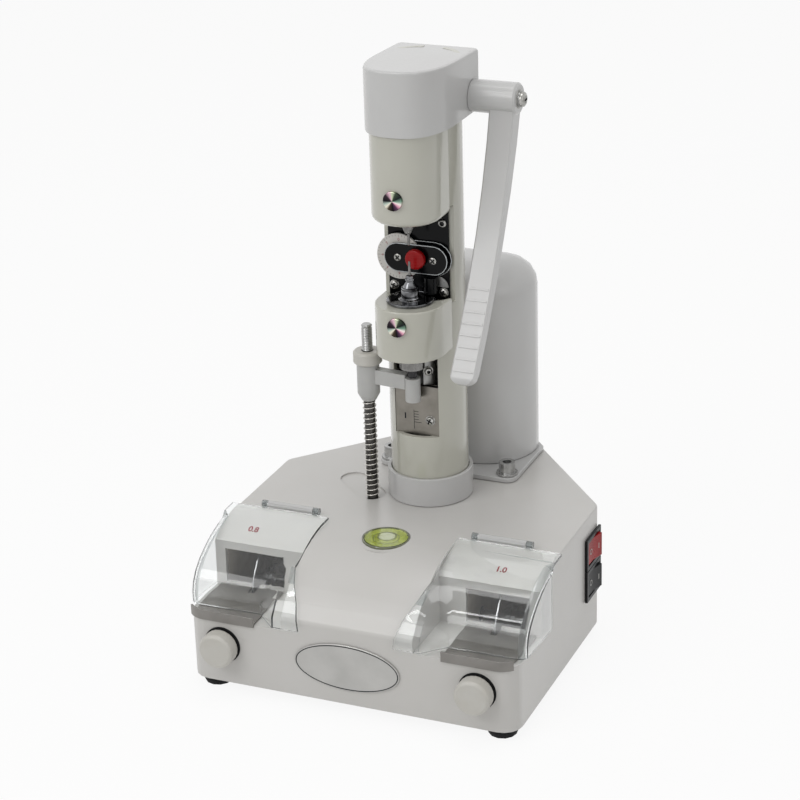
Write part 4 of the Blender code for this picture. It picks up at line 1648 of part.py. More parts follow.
def build_guide():
    """Guide rod, spring, bracket with its pin, and the stop nut."""
    turned("guide_rod", [(0.0, ROD_TOP), (ROD_RADIUS - OVERLAP / 2, ROD_TOP), (ROD_RADIUS, ROD_TOP - OVERLAP / 2),
                         (ROD_RADIUS, ROD_SEAT + FIT), (0.0, ROD_SEAT + FIT)], "steel", (ROD_X, ROD_Y, 0.0),
           SMALL_STEPS)
    build_spring()
    bracket = turned("bracket", [(HUB_BORE, HUB_TOP), (HUB_RADIUS, HUB_TOP),
                                 (HUB_RADIUS, HUB_BOTTOM + HUB_CHAMFER_HEIGHT),
                                 (HUB_RADIUS - HUB_CHAMFER, HUB_BOTTOM), (HUB_BORE, HUB_BOTTOM),
                                 (HUB_BORE, HUB_TOP)], "white", (ROD_X, ROD_Y, 0.0), ROUND_STEPS)
    along = Vector((-ROD_X, DRILL_Y - ROD_Y)).normalized()
    across = Vector((-along.y, along.x)) * ARM_HALF_WIDTH
    start = Vector((ROD_X, ROD_Y)) + along * (HUB_RADIUS - OVERLAP)
    end = Vector((0.0, DRILL_Y)) - along * (BRACKET_END_RADIUS - OVERLAP)
    arm = outline_solid("bracket_arm", [tuple(p) for p in (start - across, end - across, end + across, start + across)],
                        ARM_BOTTOM, ARM_TOP)
    tip = cylinder("bracket_end", BRACKET_END_RADIUS, (0.0, DRILL_Y, BRACKET_END_BOTTOM),
                   (0.0, DRILL_Y, BRACKET_END_TOP), ROUND_STEPS)
    join(bracket, arm, tip)
    cut(bracket, cylinder("bracket_pin_bore", BRACKET_PIN_STEM + FIT,
                          (0.0, DRILL_Y, BRACKET_END_TOP - BRACKET_PIN_STEM_LENGTH - FIT),
                          (0.0, DRILL_Y, BRACKET_END_TOP + OVERRUN), TINY_STEPS))
    smooth(bracket)
    seat = BRACKET_END_TOP + FIT
    turned("bracket_pin", [(0.0, seat + BRACKET_PIN_HEIGHT), (BRACKET_PIN_RADIUS, seat + BRACKET_PIN_HEIGHT),
                           (BRACKET_PIN_RADIUS, seat), (BRACKET_PIN_STEM, seat),
                           (BRACKET_PIN_STEM, BRACKET_END_TOP - BRACKET_PIN_STEM_LENGTH),
                           (0.0, BRACKET_END_TOP - BRACKET_PIN_STEM_LENGTH)], "black", (0.0, DRILL_Y, 0.0),
           SMALL_STEPS)
    low = HUB_TOP + FIT
    turned("stop_nut", [(HUB_BORE, low + NUT_HEIGHT), (NUT_RADIUS - NUT_CHAMFER, low + NUT_HEIGHT),
                        (NUT_RADIUS, low + NUT_HEIGHT - NUT_CHAMFER), (NUT_RADIUS, low + NUT_CHAMFER),
                        (NUT_RADIUS - NUT_CHAMFER, low), (HUB_BORE, low), (HUB_BORE, low + NUT_HEIGHT)],
           "ivory", (ROD_X, ROD_Y, 0.0), ROUND_STEPS)


def build_machine():
    """Build every sub-assembly."""
    build_base()
    build_inlet()
    for colour in SWITCH_Z:
        build_switch(colour)
    for side in SIDES:
        build_station(side)
    build_column()
    build_housing()
    build_upper_head()
    build_cap()
    build_lever()
    build_upper_unit()
    build_lower_unit()
    build_gauge()
    build_clamp_and_scale()
    build_guide()
    bpy.context.view_layer.update()


build_machine()
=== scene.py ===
"""The dressed lens drilling machine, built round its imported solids.

The machine drills and slots spectacle lenses. A white moulded casing carries an enamelled
column with two drill heads, a spring-loaded depth stop and, at the front, two covered
slotting stations. Sizes are in metres, and Z = 0 is the surface the rubber feet stand on.
Each class below builds one sub-assembly, and main() builds them in order.
"""

from __future__ import annotations

import json
import logging
import math
from dataclasses import dataclass, field
from enum import Enum
from typing import Mapping, Sequence

import bmesh
import bpy
from mathutils import Matrix, Vector

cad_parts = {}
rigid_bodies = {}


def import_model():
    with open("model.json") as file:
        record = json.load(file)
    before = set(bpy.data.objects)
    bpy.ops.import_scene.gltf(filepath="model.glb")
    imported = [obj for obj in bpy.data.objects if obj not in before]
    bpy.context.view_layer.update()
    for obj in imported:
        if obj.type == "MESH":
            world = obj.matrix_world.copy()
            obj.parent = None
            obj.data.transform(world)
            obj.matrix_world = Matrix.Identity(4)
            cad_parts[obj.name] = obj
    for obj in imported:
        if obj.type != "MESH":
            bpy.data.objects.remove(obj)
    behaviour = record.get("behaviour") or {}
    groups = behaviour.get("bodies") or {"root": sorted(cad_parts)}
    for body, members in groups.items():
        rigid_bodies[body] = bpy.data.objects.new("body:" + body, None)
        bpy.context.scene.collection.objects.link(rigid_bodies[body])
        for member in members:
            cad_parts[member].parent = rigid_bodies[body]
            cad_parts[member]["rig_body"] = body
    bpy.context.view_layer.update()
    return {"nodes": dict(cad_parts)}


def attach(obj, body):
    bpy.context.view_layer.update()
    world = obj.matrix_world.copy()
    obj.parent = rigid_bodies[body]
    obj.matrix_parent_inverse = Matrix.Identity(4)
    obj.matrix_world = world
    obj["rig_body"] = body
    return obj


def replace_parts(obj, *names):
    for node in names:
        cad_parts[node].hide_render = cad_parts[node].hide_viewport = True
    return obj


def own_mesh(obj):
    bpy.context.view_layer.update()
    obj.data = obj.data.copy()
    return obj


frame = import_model()

LOG = logging.getLogger("lens_drilling_machine")
MM = 0.001
MERGE_DISTANCE = 0.000002
FLAT_ANGLE = math.radians(0.3)
ROUND_ANGLE = math.radians(40)
FINE_ANGLE = math.radians(25)
SHARP_ANGLE = math.radians(35)
DEPTH_SHIFT = 0.0255  # from the column's axis to the middle of the machine's depth
PRINT_DEPTH = 0.06 * MM
EDGE_STEPS = 2
ROUND_STEPS = 48
SCREW_STEPS = 24
SPRING_STEPS = 24
WIRE_STEPS = 10
PRINT_STEPS = 3
FACES_UP = 0.5  # the least rise of a normal that counts as looking up
HEXAGON_TURNS = (0.0, math.pi / 3, 2 * math.pi / 3)
# The sRGB curve: a straight foot up to the knee, and a lifted power above it.
SRGB_KNEE, SRGB_SLOPE, SRGB_LIFT, SRGB_POWER = 0.04045, 12.92, 0.055, 2.4
# Where nearly all of a noise's values lie, and how finely each noise of a finish is broken up.
NOISE_SPAN = {"From Min": 0.3, "From Max": 0.7}
PATCH_DETAIL = 3.0
WAVE_DETAIL = 1.0
GRAIN_DETAIL = {"Detail": 2.0, "Roughness": 0.6}
# The painted reflection of a face with a fine spiral: the coloured and dark light that the spiral splits, as shares of
# a turn.
SPIRAL_PAINTED_REFLECTION = ((0.00, "#1B1B1E"), (0.07, "#B9C7BC"), (0.12, "#E8E2D0"), (0.17, "#4B4034"), (0.27, "#17181B"),
               (0.36, "#5C3F58"), (0.41, "#DDA0B4"), (0.46, "#F2E9E4"), (0.51, "#7FA08C"), (0.58, "#202326"),
               (0.68, "#3E4A3C"), (0.74, "#C9D3B6"), (0.80, "#D9B3C2"), (0.88, "#3A3037"), (1.00, "#1B1B1E"))
# A screw head's outline, as shares of its radius and height.
HEAD_OUTLINE = ((0.0, 0.0), (0.96, 0.0), (1.0, 0.165), (1.0, 0.55), (0.92, 0.775), (0.72, 0.93), (0.4, 1.0),
                (0.0, 1.0))
UP = Vector((0.0, 0.0, 1.0))
BACK = Vector((0.0, 1.0, 0.0))


class Side(Enum):
    """The two slotting stations, seen from the front."""

    LEFT = "left"
    RIGHT = "right"

    @property
    def sign(self) -> int:
        """Which way the station lies along X."""
        return -1 if self is Side.LEFT else 1


class Recess(Enum):
    """The drive of a screw head."""

    SLOT = "slot"
    CROSS = "cross"
    HEXAGON = "hexagon"


def linear(colour: str) -> tuple[float, float, float, float]:
    """Turn an sRGB hex colour into Blender's linear one.

    Args:
        colour: the colour as six hex digits after a hash.

    Returns:
        Red, green, blue and alpha.
    """
    values = [int(colour[start:start + 2], 16) / 255 for start in (1, 3, 5)]
    return (*(value / SRGB_SLOPE if value <= SRGB_KNEE else ((value + SRGB_LIFT) / (1 + SRGB_LIFT)) ** SRGB_POWER
              for value in values), 1.0)


def add_node(tree: bpy.types.NodeTree, kind: str, links: Mapping | None = None, values: Mapping | None = None,
             **settings: object) -> bpy.types.Node:
    """Add a shader node with its settings and links.

    Args:
        tree: the tree that gets the node.
        kind: the node's type, without the words that all of them start with.
        links: which output feeds each of the node's inputs, by name or number.
        values: the values of the node's own inputs, by name or number.
        settings: the node's properties.

    Returns:
        The new node.
    """
    node = tree.nodes.new(f"ShaderNode{kind}")
    for name, value in settings.items():
        setattr(node, name, value)
    for name, value in (values or {}).items():
        node.inputs[name].default_value = value
    for name, socket in (links or {}).items():
        tree.links.new(socket, node.inputs[name])
    return node


@dataclass(frozen=True)
class Finish:
    """A finish: its colour and gloss, and the fine pattern that its making left.

    Attributes:
        name: the material's common name and how its surface was made.
        slot: the record's material slot; not used.
        colour: the main colour.
        shade: the colour that it drifts to in soft patches.
        patch: the size of those patches.
        roughness: the least and the most roughness.
        metallic: 1 for bare metal.
        ior: how strongly the surface bends light, for what is not metal.
        coat: how much clear gloss lies over it.
        mirror: how much it mirrors, where 0.5 is plain plastic.
        grain: the size of the surface's fine grain.
        depth: how deep that grain is.
        stretch: how the grain is drawn out along each axis, for brushed metal.
    """

    name: str
    slot: str
    colour: str
    shade: str
    patch: float = 40.0 * MM
    roughness: tuple[float, float] = (0.25, 0.35)
    metallic: float = 0.0
    ior: float = 1.5
    coat: float = 0.0
    mirror: float = 0.5
    grain: float = 1.2 * MM
    depth: float = 0.02 * MM
    stretch: tuple[float, float, float] = (1.0, 1.0, 1.0)

    def material(self) -> bpy.types.Material:
        """Make the material once, and find it again after that.

        Returns:
            The material.
        """
        found = bpy.data.materials.get(self.name)
        if found:
            return found
        made = bpy.data.materials.new(self.name)
        made.use_nodes = True
        tree = made.node_tree
        shader = tree.nodes["Principled BSDF"]
        shader.inputs["Metallic"].default_value = self.metallic
        if not self.metallic:
            shader.inputs["IOR"].default_value = self.ior
            shader.inputs["Specular IOR Level"].default_value = self.mirror
        shader.inputs["Coat Weight"].default_value = self.coat
        shader.inputs["Coat Roughness"].default_value = self.roughness[0] / 2
        self.dress(tree, shader)
        return made

    def dress(self, tree: bpy.types.NodeTree, shader: bpy.types.Node) -> None:
        """Give the shader soft patches of colour and gloss, and its fine grain.

        Args:
            tree: the material's node tree.
            shader: its main shader.
        """
        place = add_node(tree, "TexCoord").outputs["Object"]
        patches = add_node(tree, "TexNoise", {"Vector": place}, {"Scale": 1 / self.patch, "Detail": PATCH_DETAIL})
        self.tint(tree, shader, patches.outputs["Fac"])
        drawn = add_node(tree, "Mapping", {"Vector": place}, {"Scale": self.stretch})
        grain = add_node(tree, "TexNoise", {"Vector": drawn.outputs[0]}, {"Scale": 1 / self.grain, **GRAIN_DETAIL})
        gloss = add_node(tree, "MapRange", {"Value": grain.outputs["Fac"]},
                         {**NOISE_SPAN, "To Min": self.roughness[0], "To Max": self.roughness[1]})
        tree.links.new(gloss.outputs[0], shader.inputs["Roughness"])
        bump = add_node(tree, "Bump", {"Height": grain.outputs["Fac"]}, {"Strength": 1.0, "Distance": self.depth})
        tree.links.new(bump.outputs[0], shader.inputs["Normal"])

    def tint(self, tree: bpy.types.NodeTree, shader: bpy.types.Node, amount: bpy.types.NodeSocket) -> None:
        """Let the colour drift between its two hues.

        Args:
            tree: the material's node tree.
            shader: its main shader.
            amount: how far it has drifted at each point.
        """
        spread = add_node(tree, "MapRange", {"Value": amount}, NOISE_SPAN)
        mix = add_node(tree, "Mix", {"Factor": spread.outputs[0]}, data_type="RGBA")
        mix.inputs[6].default_value = linear(self.colour)
        mix.inputs[7].default_value = linear(self.shade)
        tree.links.new(mix.outputs[2], shader.inputs["Base Color"])


@dataclass(frozen=True)
class PaintedSpiralFace(Finish):
    """A screw head faced with a fine spiral, with the coloured light that the spiral splits painted into its colour as
    a reflection.

    Attributes:
        centre: the middle of the face, which looks along -Y.
        ring: the size of its turned rings, coarser than the real ones so that they show.
    """

    centre: tuple[float, float, float] = (0.0, 0.0, 0.0)
    ring: float = 8.0 * MM

    def dress(self, tree: bpy.types.NodeTree, shader: bpy.types.Node) -> None:
        """Paint the spiral's coloured and dark reflection into the colour round the middle, and give the shader fine
        turned rings.

        Args:
            tree: the material's node tree.
            shader: its main shader.
        """
        place = add_node(tree, "TexCoord").outputs["Object"]
        centred = add_node(tree, "Mapping", {"Vector": place}, {"Location": [-value for value in self.centre]})
        facing = add_node(tree, "Mapping", {"Vector": centred.outputs[0]}, {"Rotation": (-math.pi / 2, 0.0, 0.0)})
        angle = add_node(tree, "TexGradient", {"Vector": facing.outputs[0]}, gradient_type="RADIAL")
        # A painted reflection: coloured and dark light round the middle, set as the base colour.
        rays = add_node(tree, "ValToRGB", {"Fac": angle.outputs["Fac"]})
        ramp = rays.color_ramp
        while len(ramp.elements) < len(SPIRAL_PAINTED_REFLECTION):
            ramp.elements.new(0.5)
        for element, (position, colour) in zip(ramp.elements, SPIRAL_PAINTED_REFLECTION):
            element.position = position
            element.color = linear(colour)
        tree.links.new(rays.outputs["Color"], shader.inputs["Base Color"])
        rings = add_node(tree, "TexWave", {"Vector": centred.outputs[0]}, {"Scale": 1 / self.ring, "Distortion": 0.0},
                         wave_type="RINGS", rings_direction="Y")
        gloss = add_node(tree, "MapRange", {"Value": rings.outputs["Fac"]},
                         {"To Min": self.roughness[0], "To Max": self.roughness[1]})
        tree.links.new(gloss.outputs[0], shader.inputs["Roughness"])
        bump = add_node(tree, "Bump", {"Height": rings.outputs["Fac"]}, {"Strength": 1.0, "Distance": self.depth})
        tree.links.new(bump.outputs[0], shader.inputs["Normal"])


@dataclass(frozen=True)
class Clear(Finish):
    """A clear plastic or fluid that lets lamps through.

    Attributes:
        passed: how much of a lamp's light it lets through.
        weight: how much of it is see-through.
    """

    passed: str = "#F4F6F6"
    weight: float = 1.0

    def dress(self, tree: bpy.types.NodeTree, shader: bpy.types.Node) -> None:
        """Make the shader see-through, with the faint waviness of a moulding.

        Args:
            tree: the material's node tree.
            shader: its main shader.
        """
        shader.inputs["Base Color"].default_value = linear(self.colour)
        shader.inputs["Roughness"].default_value = self.roughness[0]
        shader.inputs["Transmission Weight"].default_value = self.weight
        place = add_node(tree, "TexCoord").outputs["Object"]
        waves = add_node(tree, "TexNoise", {"Vector": place}, {"Scale": 1 / self.grain, "Detail": WAVE_DETAIL})
        bump = add_node(tree, "Bump", {"Height": waves.outputs["Fac"]}, {"Strength": 1.0, "Distance": self.depth})
        tree.links.new(bump.outputs[0], shader.inputs["Normal"])
        through = add_node(tree, "BsdfTransparent", values={"Color": linear(self.passed)})
        path = add_node(tree, "LightPath")
        output = tree.nodes["Material Output"]
        mix = add_node(tree, "MixShader", {0: path.outputs["Is Shadow Ray"], 1: shader.outputs[0],
                                           2: through.outputs[0]})
        tree.links.new(mix.outputs[0], output.inputs["Surface"])


# White ABS, injection moulded: a satin gloss with a faint orange peel that softens the highlights.
WHITE_CASING = Finish("abs_moulded_warm_white", "white_casing", "#D0CECB", "#CCCAC6", patch=60.0 * MM,
                      roughness=(0.32, 0.38), coat=0.2, grain=3.0 * MM, depth=0.004 * MM)
# White ABS from a polished mould: glossier than the casing, so its edges catch a clean light.
WHITE_PLASTIC = Finish("abs_moulded_white", "white_plastic", "#CACAC9", "#C6C5C4", patch=50.0 * MM,
                       roughness=(0.2, 0.26), coat=0.25, grain=2.6 * MM, depth=0.004 * MM)
# Baked enamel on turned metal: deep gloss, cream with a grey cast.
CREAM_ENAMEL = Finish("enamel_sprayed_cream", "cream_enamel", "#C2C1B6", "#BDBCB0", patch=50.0 * MM,
                      roughness=(0.14, 0.18), coat=0.5, grain=3.5 * MM, depth=0.004 * MM)
# Powder paint on cast metal: a fine, even tooth.
GREY_PAINT = Finish("paint_sprayed_light_grey", "light_grey_paint", "#BEBEBC", "#B6B6B4", patch=20.0 * MM,
                    roughness=(0.36, 0.44), grain=1.0 * MM, depth=0.008 * MM)
# Ivory nylon: waxy, with a softer gloss than the casing.
IVORY_PLASTIC = Finish("nylon_moulded_ivory", "ivory_plastic", "#C9C7C1", "#C3C0B8", patch=15.0 * MM,
                       roughness=(0.36, 0.44), ior=1.53, grain=1.4 * MM, depth=0.006 * MM)
# Nickel-plated steel: bright, with fine grinding marks.
BRIGHT_STEEL = Finish("steel_nickel_plated", "steel", "#BCBCBB", "#9A9A99", patch=6.0 * MM, roughness=(0.14, 0.24),
                      metallic=0.9, grain=0.6 * MM, depth=0.004 * MM)
# Zinc-plated screw heads: bright, with darker patches where a film of oil stays.
SCREW_STEEL = Finish("steel_zinc_plated", "steel", "#BDBCB9", "#85847F", patch=3.0 * MM, roughness=(0.14, 0.24),
                     metallic=0.9, grain=0.6 * MM, depth=0.004 * MM)
# Ground tool steel of the spindles, bits and quill: darker and duller than the plated screws.
SPINDLE_STEEL = Finish("tool_steel_ground", "steel", "#8B8A88", "#6C6B69", patch=5.0 * MM, roughness=(0.2, 0.32),
                       metallic=1.0, grain=0.5 * MM, depth=0.004 * MM, stretch=(1.0, 1.0, 0.15))
# The guide rod's ground bar below its thread, painted dark grey as the shade between the spring's turns.
ROD_PAINTED_SHADE = Finish("steel_ground_painted_shade", "steel", "#5A5856", "#403F3D", patch=4.0 * MM, roughness=(0.2, 0.32),
                   metallic=1.0, grain=0.5 * MM, depth=0.004 * MM)
# Drawn spring wire: pale grey, with the slight sheen that drawing leaves.
SPRING_STEEL = Finish("spring_wire_drawn", "steel", "#DAD7D2", "#B4B1AB", patch=4.0 * MM, roughness=(0.12, 0.2),
                      metallic=0.95, grain=0.5 * MM, depth=0.003 * MM)
# Rolled stainless sheet, blackened: fine lines along its width break up a dull shine.
DARK_STEEL = Finish("stainless_rolled_dark", "dark_steel", "#4A4A4B", "#3A3A3B", patch=18.0 * MM,
                    roughness=(0.28, 0.4), metallic=1.0, grain=0.8 * MM, depth=0.006 * MM,
                    stretch=(0.12, 1.0, 1.0))
# Pressed stainless of the trays: a cool grey with rolling lines along the machine's width.
TRAY_STEEL = Finish("stainless_pressed_cool_grey", "dark_steel", "#8C8985", "#7F7C78", patch=16.0 * MM,
                    roughness=(0.32, 0.38), metallic=0.4, grain=0.9 * MM, depth=0.0015 * MM,
                    stretch=(0.12, 1.0, 1.0))
# Folded sheet of the splash boxes, stained brown-grey by coolant.
BOX_STEEL = Finish("sheet_folded_stained", "dark_steel", "#C9C2B6", "#AFA89C", patch=14.0 * MM,
                   roughness=(0.45, 0.55), grain=1.2 * MM, depth=0.01 * MM, stretch=(1.0, 1.0, 0.25))
# Ground cutter discs: a cold grey with an even, fine grain.
DISC_STEEL = Finish("tool_steel_ground_disc", "disc_steel", "#A9AAAB", "#8A8B8D", patch=6.0 * MM,
                    roughness=(0.2, 0.32), metallic=1.0, grain=0.6 * MM, depth=0.003 * MM)
# Chrome plate over brass: almost a mirror, with a painted reflection in its colour, where soft patches drift between
# pale grey and near black like light and dark parts of the room.
CHROME_PAINTED_REFLECTION = Finish("chrome_plated_painted_reflection", "chrome", "#A2A3A6", "#1E1E20", patch=11.0 * MM, roughness=(0.04, 0.08),
                metallic=1.0, grain=3.0 * MM, depth=0.001 * MM)
# Milled aluminium: a soft grey with faint lines along the cut.
ALUMINIUM = Finish("aluminium_milled", "aluminium", "#A5A5A3", "#929290", patch=10.0 * MM, roughness=(0.28, 0.42),
                   metallic=1.0, grain=0.6 * MM, depth=0.006 * MM, stretch=(0.15, 1.0, 1.0))
# Brushed plate of the scale: warm grey, brushed across.
SCALE_STEEL = Finish("steel_brushed_warm_grey", "aluminium", "#8F8B84", "#7E7A73", patch=12.0 * MM,
                     roughness=(0.3, 0.44), metallic=1.0, grain=0.6 * MM, depth=0.005 * MM,
                     stretch=(0.08, 1.0, 1.0))
# Black paint on the motors' steel cans: dull, with little shine.
MOTOR_BLACK = Finish("steel_painted_black", "motor_black", "#1C1C1E", "#252527", patch=10.0 * MM,
                     roughness=(0.35, 0.5), mirror=0.3)
# Stacked silicon steel: dark grey, with the fine lines of the sheets' edges.
CORE_STEEL = Finish("silicon_steel_stacked", "core_steel", "#6B6A68", "#575654", patch=6.0 * MM,
                    roughness=(0.4, 0.55), metallic=1.0, grain=0.6 * MM, depth=0.03 * MM, stretch=(0.1, 1.0, 0.1))
# Black polycarbonate, moulded: a dull sheen that shows the rounded edges.
BLACK_PLASTIC = Finish("polycarbonate_moulded_black", "black_plastic", "#111214", "#18191B", patch=12.0 * MM,
                       roughness=(0.28, 0.4), mirror=0.22, grain=1.0 * MM, depth=0.008 * MM)
# Black acrylic sheet: deep black, with a clear reflection.
BLACK_PLATE = Finish("acrylic_sheet_black", "black_plate", "#060708", "#090A0C", patch=15.0 * MM,
                     roughness=(0.14, 0.22), mirror=0.14, grain=2.5 * MM, depth=0.002 * MM)
# Plated steel at the bottom of a drive recess, painted dull and nearly black as the shade that gathers there.
RECESS_PAINTED_SHADE = Finish("steel_recess_painted_shade", "dark_steel", "#1B1B1C", "#101011", patch=3.0 * MM,
                      roughness=(0.4, 0.55), metallic=0.4, grain=0.8 * MM, depth=0.004 * MM)
# Grey screen-printed ink of the dial's fine ticks: flat and dull.
DIAL_INK = Finish("ink_printed_grey", "black_plastic", "#8E8B87", "#82807C", patch=3.0 * MM, roughness=(0.4, 0.5),
                  mirror=0.3, grain=0.6 * MM, depth=0.004 * MM)
# The polished edge of black acrylic, painted pale as the highlight that it catches, so that it reads as a thin silver
# line.
CUT_EDGE_PAINTED_HIGHLIGHT = Finish("acrylic_edge_painted_highlight", "black_plate", "#C4C8CA", "#A2A6A8", patch=10.0 * MM,
                  roughness=(0.16, 0.26), metallic=0.4, grain=1.0 * MM, depth=0.004 * MM)
# Red polycarbonate, moulded: an even red with a soft highlight.
RED_PLASTIC = Finish("polycarbonate_moulded_red", "red_plastic", "#A3060B", "#8C0509", patch=10.0 * MM,
                     roughness=(0.24, 0.34), mirror=0.25, grain=1.2 * MM, depth=0.006 * MM)
# Moulded black rubber: nearly no shine, and a fine tooth.
RUBBER = Finish("rubber_moulded_black", "rubber", "#121314", "#1B1C1D", patch=8.0 * MM, roughness=(0.62, 0.78),
                mirror=0.2, grain=0.8 * MM, depth=0.03 * MM)
# Anodised aluminium plate, satin brushed: pale silver with a soft streak of light.
SATIN_SILVER = Finish("aluminium_anodised_satin", "name_plate", "#BDBCB9", "#B1B0AD", patch=20.0 * MM,
                      roughness=(0.3, 0.38), metallic=0.5, coat=0.3, grain=0.8 * MM, depth=0.003 * MM,
                      stretch=(0.1, 1.0, 1.0))
# Clear polycarbonate, moulded: see-through, faintly wavy, and bright where it bends.
CLEAR_VISOR = Clear("polycarbonate_moulded_clear", "clear_plastic", "#FBFCFC", "#FBFCFC", roughness=(0.01, 0.01),
                    ior=1.45, grain=24.0 * MM, depth=0.02 * MM)
# The visor's sawn and polished edges, tinted pale grey and less clear: a painted highlight of the light they hold, so
# that they read as a pale grey line.
VISOR_EDGE_PAINTED_HIGHLIGHT = Clear("polycarbonate_edge_painted_highlight", "clear_plastic", "#C6CACA", "#C6CACA", roughness=(0.08, 0.08),
                   ior=1.45, grain=4.0 * MM, depth=0.01 * MM, passed="#D6DADA", weight=0.86)
# Smoky acrylic cup of the level: an olive grey ring round the fluid.
LEVEL_CUP = Finish("acrylic_moulded_smoky", "level_fluid", "#7E8266", "#5F6350", patch=8.0 * MM,
                   roughness=(0.14, 0.22), ior=1.49, coat=0.3, grain=1.5 * MM, depth=0.003 * MM)
# Dyed spirit of the level: yellow-green, with a wet gloss.
LEVEL_FLUID = Finish("spirit_dyed_yellow_green", "level_fluid", "#A0A94E", "#8E9A3A", patch=9.0 * MM,
                     roughness=(0.1, 0.16), mirror=0.2, grain=10.0 * MM, depth=0.003 * MM)
# Turned acrylic cover of the level: a thin gloss over the fluid.
LEVEL_COVER = Clear("acrylic_turned_clear", "clear_plastic", "#FFFFFF", "#FFFFFF", roughness=(0.02, 0.02), ior=1.2,
                    grain=10.0 * MM, depth=0.005 * MM)
# The bubble under the cover: a paler, duller green than the fluid.
BUBBLE = Finish("air_under_acrylic", "clear_plastic", "#B7BC9C", "#A9AF88", patch=4.0 * MM, roughness=(0.1, 0.16),
                ior=1.4, grain=4.0 * MM, depth=0.003 * MM)
# Olive ink of the level's rings, only a little darker than the fluid; round the bubble it stands as painted shade at
# the bubble's edge.
OLIVE_INK = Finish("ink_printed_olive", "level_fluid", "#757D3E", "#697134", patch=3.0 * MM, roughness=(0.3, 0.4),
                   mirror=0.3, grain=0.8 * MM, depth=0.004 * MM)
# Turned white acetal: a waxy off-white.
DIAL_WHITE = Finish("acetal_turned_white", "dial_white", "#CFCDC8", "#C6C3BE", patch=8.0 * MM,
                    roughness=(0.34, 0.42), ior=1.48, grain=1.0 * MM, depth=0.006 * MM)
# Red screen-printed ink of the figures: it lies flat, a little duller than the plastic round it.
RED_INK = Finish("ink_printed_red", "red_plastic", "#7E0A1C", "#8A1224", patch=3.0 * MM, roughness=(0.4, 0.5),
                 mirror=0.2, grain=0.6 * MM, depth=0.004 * MM)
# Black screen-printed ink of the scale and of the front plate's rim.
BLACK_INK = Finish("ink_printed_black", "black_plastic", "#14181B", "#1D2124", patch=3.0 * MM,
                   roughness=(0.4, 0.5), mirror=0.2, grain=0.6 * MM, depth=0.004 * MM)
# White screen-printed ink of the switches' marks.
WHITE_INK = Finish("ink_printed_white", "dial_white", "#C9C8C5", "#BDBCB8", patch=3.0 * MM, roughness=(0.4, 0.5),
                   grain=0.6 * MM, depth=0.004 * MM)


def spot(x: float, y: float, z: float) -> Vector:
    """Turn a point given from the column's axis into the frame's own place."""
    return Vector((x, y + DEPTH_SHIFT, z))


def place_on(point: Vector, outward: Vector, upward: Vector = UP) -> Matrix:
    """Carry what is drawn flat, facing up, to a place on a surface.

    Args:
        point: where its origin goes.
        outward: the surface's normal there.
        upward: which way its top points, as far as the surface allows.

    Returns:
        The matrix that carries it there.
    """
    ahead = outward.normalized()
    rise = (upward - ahead * upward.dot(ahead)).normalized()
    axes = Matrix((rise.cross(ahead), rise, ahead)).transposed()
    return Matrix.Translation(point) @ axes.to_4x4()


def finish_piece(name: str, build: bmesh.types.BMesh, finish: Finish, rim: Finish | None = None,
                 body: str = "machine_body", smooth: float = ROUND_ANGLE) -> bpy.types.Object:
    """Make a piece of a finished bmesh and let it ride on a body.

    Args:
        name: the piece's name.
        build: the shape, which is used up.
        finish: its finish.
        rim: the finish of the faces that are marked as its cut edges.
        body: the CAD body that it rides on.
        smooth: edges that bend less than this are shaded smooth.

    Returns:
        The piece, with its place in its mesh.
    """
    mesh = bpy.data.meshes.new(name)
    build.to_mesh(mesh)
    build.free()
    mesh.shade_smooth()
    mesh.set_sharp_from_angle(angle=smooth)
    for layer in (finish, rim):
        if layer:
            mesh.materials.append(layer.material())
    piece = bpy.data.objects.new(name, mesh)
    bpy.context.scene.collection.objects.link(piece)
    weighted = piece.modifiers.new("flat faces stay flat", "WEIGHTED_NORMAL")
    weighted.keep_sharp = True
    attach(piece, body)
    LOG.info("%s: %d faces on %s", name, len(mesh.polygons), body)
    return piece


def merged(node: str) -> bmesh.types.BMesh:
    """Copy a CAD node's shape, with its corners merged and its flat faces joined.

    Args:
        node: the CAD node.

    Returns:
        The copy.
    """
    build = bmesh.new()
    build.from_mesh(frame["nodes"][node].data)
    for face in build.faces:
        face.material_index = 0
    bmesh.ops.remove_doubles(build, verts=build.verts, dist=MERGE_DISTANCE)
    bmesh.ops.dissolve_limit(build, angle_limit=FLAT_ANGLE, verts=build.verts, edges=build.edges)
    return build


def round_edges(build: bmesh.types.BMesh, edge: float, steps: int = EDGE_STEPS) -> list[bmesh.types.BMFace]:
    """Round the sharp edges of a shape.

    Args:
        build: the shape.
        edge: how wide its edges are rounded.
        steps: the faces across each edge.

    Returns:
        The faces of the rounded edges.
    """
    sharp = [side for side in build.edges if side.is_manifold and side.calc_face_angle(0.0) > SHARP_ANGLE]
    return bmesh.ops.bevel(build, geom=sharp, offset=edge, offset_type="OFFSET", segments=steps, profile=0.5,
                           affect="EDGES", clamp_overlap=True, material=-1)["faces"]


def finer(node: str, finish: Finish, edge: float = 0.0, rim: Finish | None = None, narrow: float = 0.0,
          steps: int = EDGE_STEPS) -> bpy.types.Object:
    """Stand in for a CAD node with a merged, smoother copy whose sharp edges are rounded.

    Args:
        node: the CAD node.
        finish: the copy's finish.
        edge: how wide its sharp edges are rounded, or 0 to leave them.
        rim: the finish of its rounded edges, and of its narrow faces.
        narrow: faces up to this wide are cut edges too.
        steps: the faces across each rounded edge.

    Returns:
        The copy, which replaces the node.
    """
    build = merged(node)
    if narrow:
        for face in build.faces:
            longest = max(side.calc_length() for side in face.edges)
            face.material_index = int(face.calc_area() < narrow * longest)
    if edge:
        for face in round_edges(build, edge, steps):
            face.material_index = int(rim is not None)
    piece = finish_piece(f"{node}_finish", build, finish, rim, frame["nodes"][node]["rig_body"])
    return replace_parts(piece, node)


